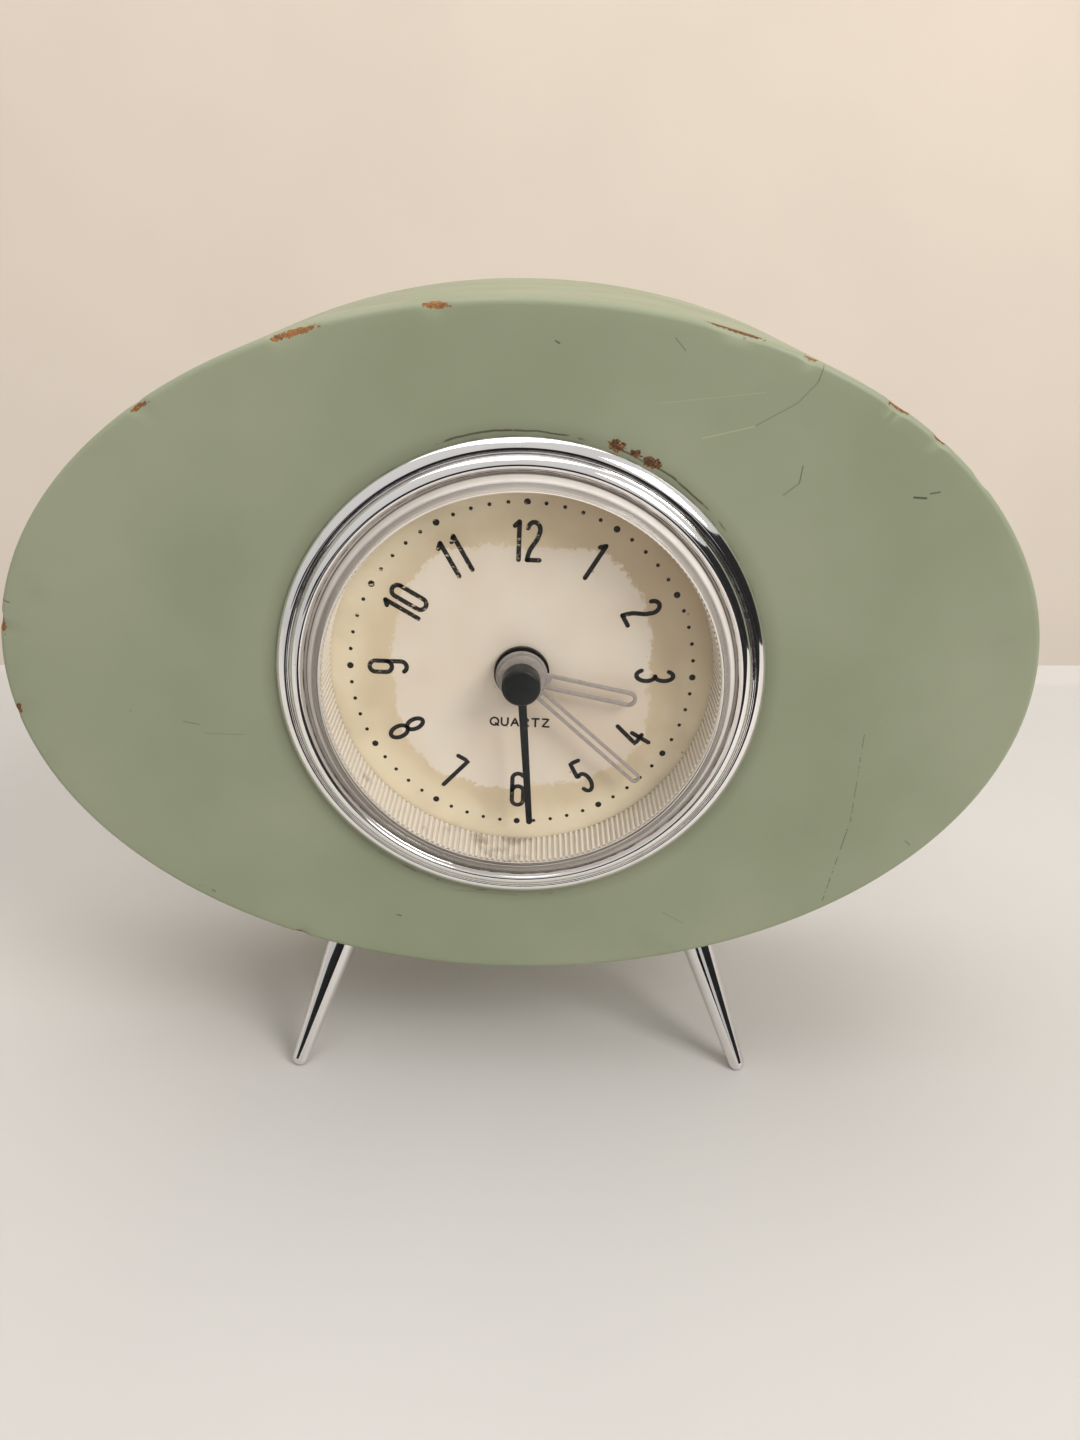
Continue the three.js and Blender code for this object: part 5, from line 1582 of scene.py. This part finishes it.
@dataclass
class Studio:
    """The pale table and wall, the soft lights and the camera."""

    lens_mm: float = 36.87
    camera_at: tuple[float, float, float] = (2.55, -195.0, 78.2)
    yaw: float = -0.31
    pitch: float = -24.36
    roll: float = -0.87
    table_back: float = 214.0
    table_front: float = -200.0
    table_right: float = 900.0

    def slab(self, name: str, low: Point, high: Point) -> bpy.types.Object:
        """A rectangular board between two corners.

        Args:
            name: the board's name.
            low: its lowest corner, in millimetres.
            high: its highest corner.

        Returns:
            The linked object.
        """
        points = np.array([(x, y, z) for x in (low[0], high[0]) for y in (low[1], high[1])
                           for z in (low[2], high[2])])
        faces = [[0, 1, 3, 2], [4, 6, 7, 5], [0, 4, 5, 1], [2, 3, 7, 6], [0, 2, 6, 4], [1, 5, 7, 3]]
        return make_object(name, points, faces)

    def surface(self, name: str, colour: Colour, roughness: float) -> bpy.types.Material:
        """A pale, faintly mottled finish for table or wall."""
        s = Shader(name)
        darker = tuple(c * 0.97 for c in colour[:3]) + (1.0,)
        s.set(Base_Color=s.mix(s.step(s.noise(0.01, 4.0), 0.3, 0.7), colour, darker), Roughness=roughness)
        s.bump(s.noise(0.8, 2.0), 0.05, 0.05)
        return s.material

    def build_set(self) -> None:
        """Builds table and wall, and the boards round them that only reflections see."""
        pale = self.surface("table top", srgb(200, 197, 193), 0.5)
        table = self.slab("table", (-1500.0, -1500.0, -25.0), (1500.0, self.table_back, 0.0))
        table.data.transform(Matrix.Rotation(math.radians(2.0), 4, "Z"))
        table.visible_glossy = False
        dress(table, pale)
        wall = self.slab("wall", (-2500.0, 560.0, -900.0), (2500.0, 600.0, 1600.0))
        dress(wall, self.surface("wall paint", srgb(226, 212, 196), 0.8))
        black = self.surface("room black", srgb(24, 26, 32), 0.9)
        top = self.slab("mirrored table", (-900.0, self.table_front, -24.0), (self.table_right, 200.0, 0.05))
        card = self.slab("mirrored dark", (520.0, -900.0, 10.0), (540.0, 160.0, 330.0))
        floor = self.slab("mirrored floor", (-150.0, -3000.0, -80.0), (3000.0, 500.0, -60.0))
        figure = self.slab("mirrored figure", (-1300.0, -920.0, -60.0), (120.0, -900.0, 210.0))
        for board, finish in ((top, pale), (card, black), (floor, black), (figure, black)):
            dress(board, finish)
            board.visible_camera = False
            board.visible_shadow = False
            board.visible_diffuse = False
            board.visible_transmission = False

    def lamp(self, name: str, place: Point, target: Point, size: float, power: float, colour: Point) -> None:
        """Hangs one soft square lamp.

        Args:
            name: the lamp's name.
            place: where it is, in metres.
            target: what it faces, in metres.
            size: its side, in metres.
            power: in watts.
            colour: of its light.
        """
        data = bpy.data.lights.new(name, "AREA")
        data.shape = "SQUARE"
        data.size = size
        data.energy = power
        data.color = colour
        lamp = bpy.data.objects.new(name, data)
        lamp.location = place
        lamp.rotation_euler = (Vector(target) - Vector(place)).to_track_quat("-Z", "Y").to_euler()
        bpy.context.scene.collection.objects.link(lamp)

    def light(self) -> None:
        """Places the window light, the fill and the room."""
        self.lamp("window", (1.05, -0.9, 1.12), (0.0, 0.0, 0.08), 0.75, 17.5, (1.0, 0.985, 0.97))
        self.lamp("ceiling", (-0.1, 0.1, 1.3), (0.0, 0.0, 0.0), 1.2, 9.0, (1.0, 0.99, 0.98))
        world = bpy.data.worlds.new("room")
        bpy.context.scene.world = world
        world.use_nodes = True
        tree = world.node_tree
        tree.nodes.clear()
        out = tree.nodes.new("ShaderNodeOutputWorld")
        glow = tree.nodes.new("ShaderNodeBackground")
        tree.links.new(glow.outputs[0], out.inputs[0])
        way = tree.nodes.new("ShaderNodeTexCoord")
        height = tree.nodes.new("ShaderNodeSeparateXYZ")
        tree.links.new(way.outputs["Generated"], height.inputs[0])
        ramp = tree.nodes.new("ShaderNodeValToRGB")
        ramp.color_ramp.elements[0].position = 0.0
        ramp.color_ramp.elements[0].color = (0.76, 0.75, 0.74, 1.0)
        ramp.color_ramp.elements[1].position = 0.8
        ramp.color_ramp.elements[1].color = (0.86, 0.85, 0.84, 1.0)
        tree.links.new(height.outputs[2], ramp.inputs[0])
        tree.links.new(ramp.outputs[0], glow.inputs[0])
        glow.inputs[1].default_value = 0.76

    def place_camera(self) -> None:
        """Sets the camera at its viewpoint, measured from the dial's centre."""
        data = bpy.data.cameras.new("view")
        data.sensor_fit = "HORIZONTAL"
        data.sensor_width = 36.0
        data.lens = self.lens_mm
        data.clip_start = 0.01
        camera = bpy.data.objects.new("view", data)
        turn = (
            Matrix.Rotation(math.radians(self.yaw), 4, "Z")
            @ Matrix.Rotation(math.radians(self.pitch), 4, "X")
            @ Matrix.Rotation(math.radians(self.roll), 4, "Y")
            @ Matrix.Rotation(math.pi / 2, 4, "X")
        )
        x, y, z = self.camera_at
        place = Vector((x, PLACES.dial + y, PLACES.centre + z)) * MM
        camera.matrix_world = Matrix.Translation(place) @ turn
        bpy.context.scene.collection.objects.link(camera)
        bpy.context.scene.camera = camera

    def add(self) -> None:
        """Builds the whole studio."""
        self.build_set()
        self.light()
        self.place_camera()
        bpy.context.scene.view_settings.view_transform = "Standard"


def main() -> None:
    """Builds the clock's looks in order."""
    Studio().add()
    block = PaintedBlock()
    block.dress(block.build())
    chrome = Chrome(tint=(0.80, 0.78, 0.77, 1.0), pits=0.25, roughness=0.04).make("leg chrome")
    for row in ("front", "rear"):
        for side, sign in (("left", -1), ("right", 1)):
            leg = Leg(f"{row}_{side}", sign, row == "rear")
            leg.dress(leg.build(), chrome)
    bezel = Bezel()
    bezel.dress(bezel.build())
    lens = Lens()
    lens.dress(lens.build())
    finish_piece(FluteRing().build(), "clock", ["reflector_ring"])
    DialPrint().add()
    Hands().add()
    Movement().add()


if __name__ == "__main__":
    main()
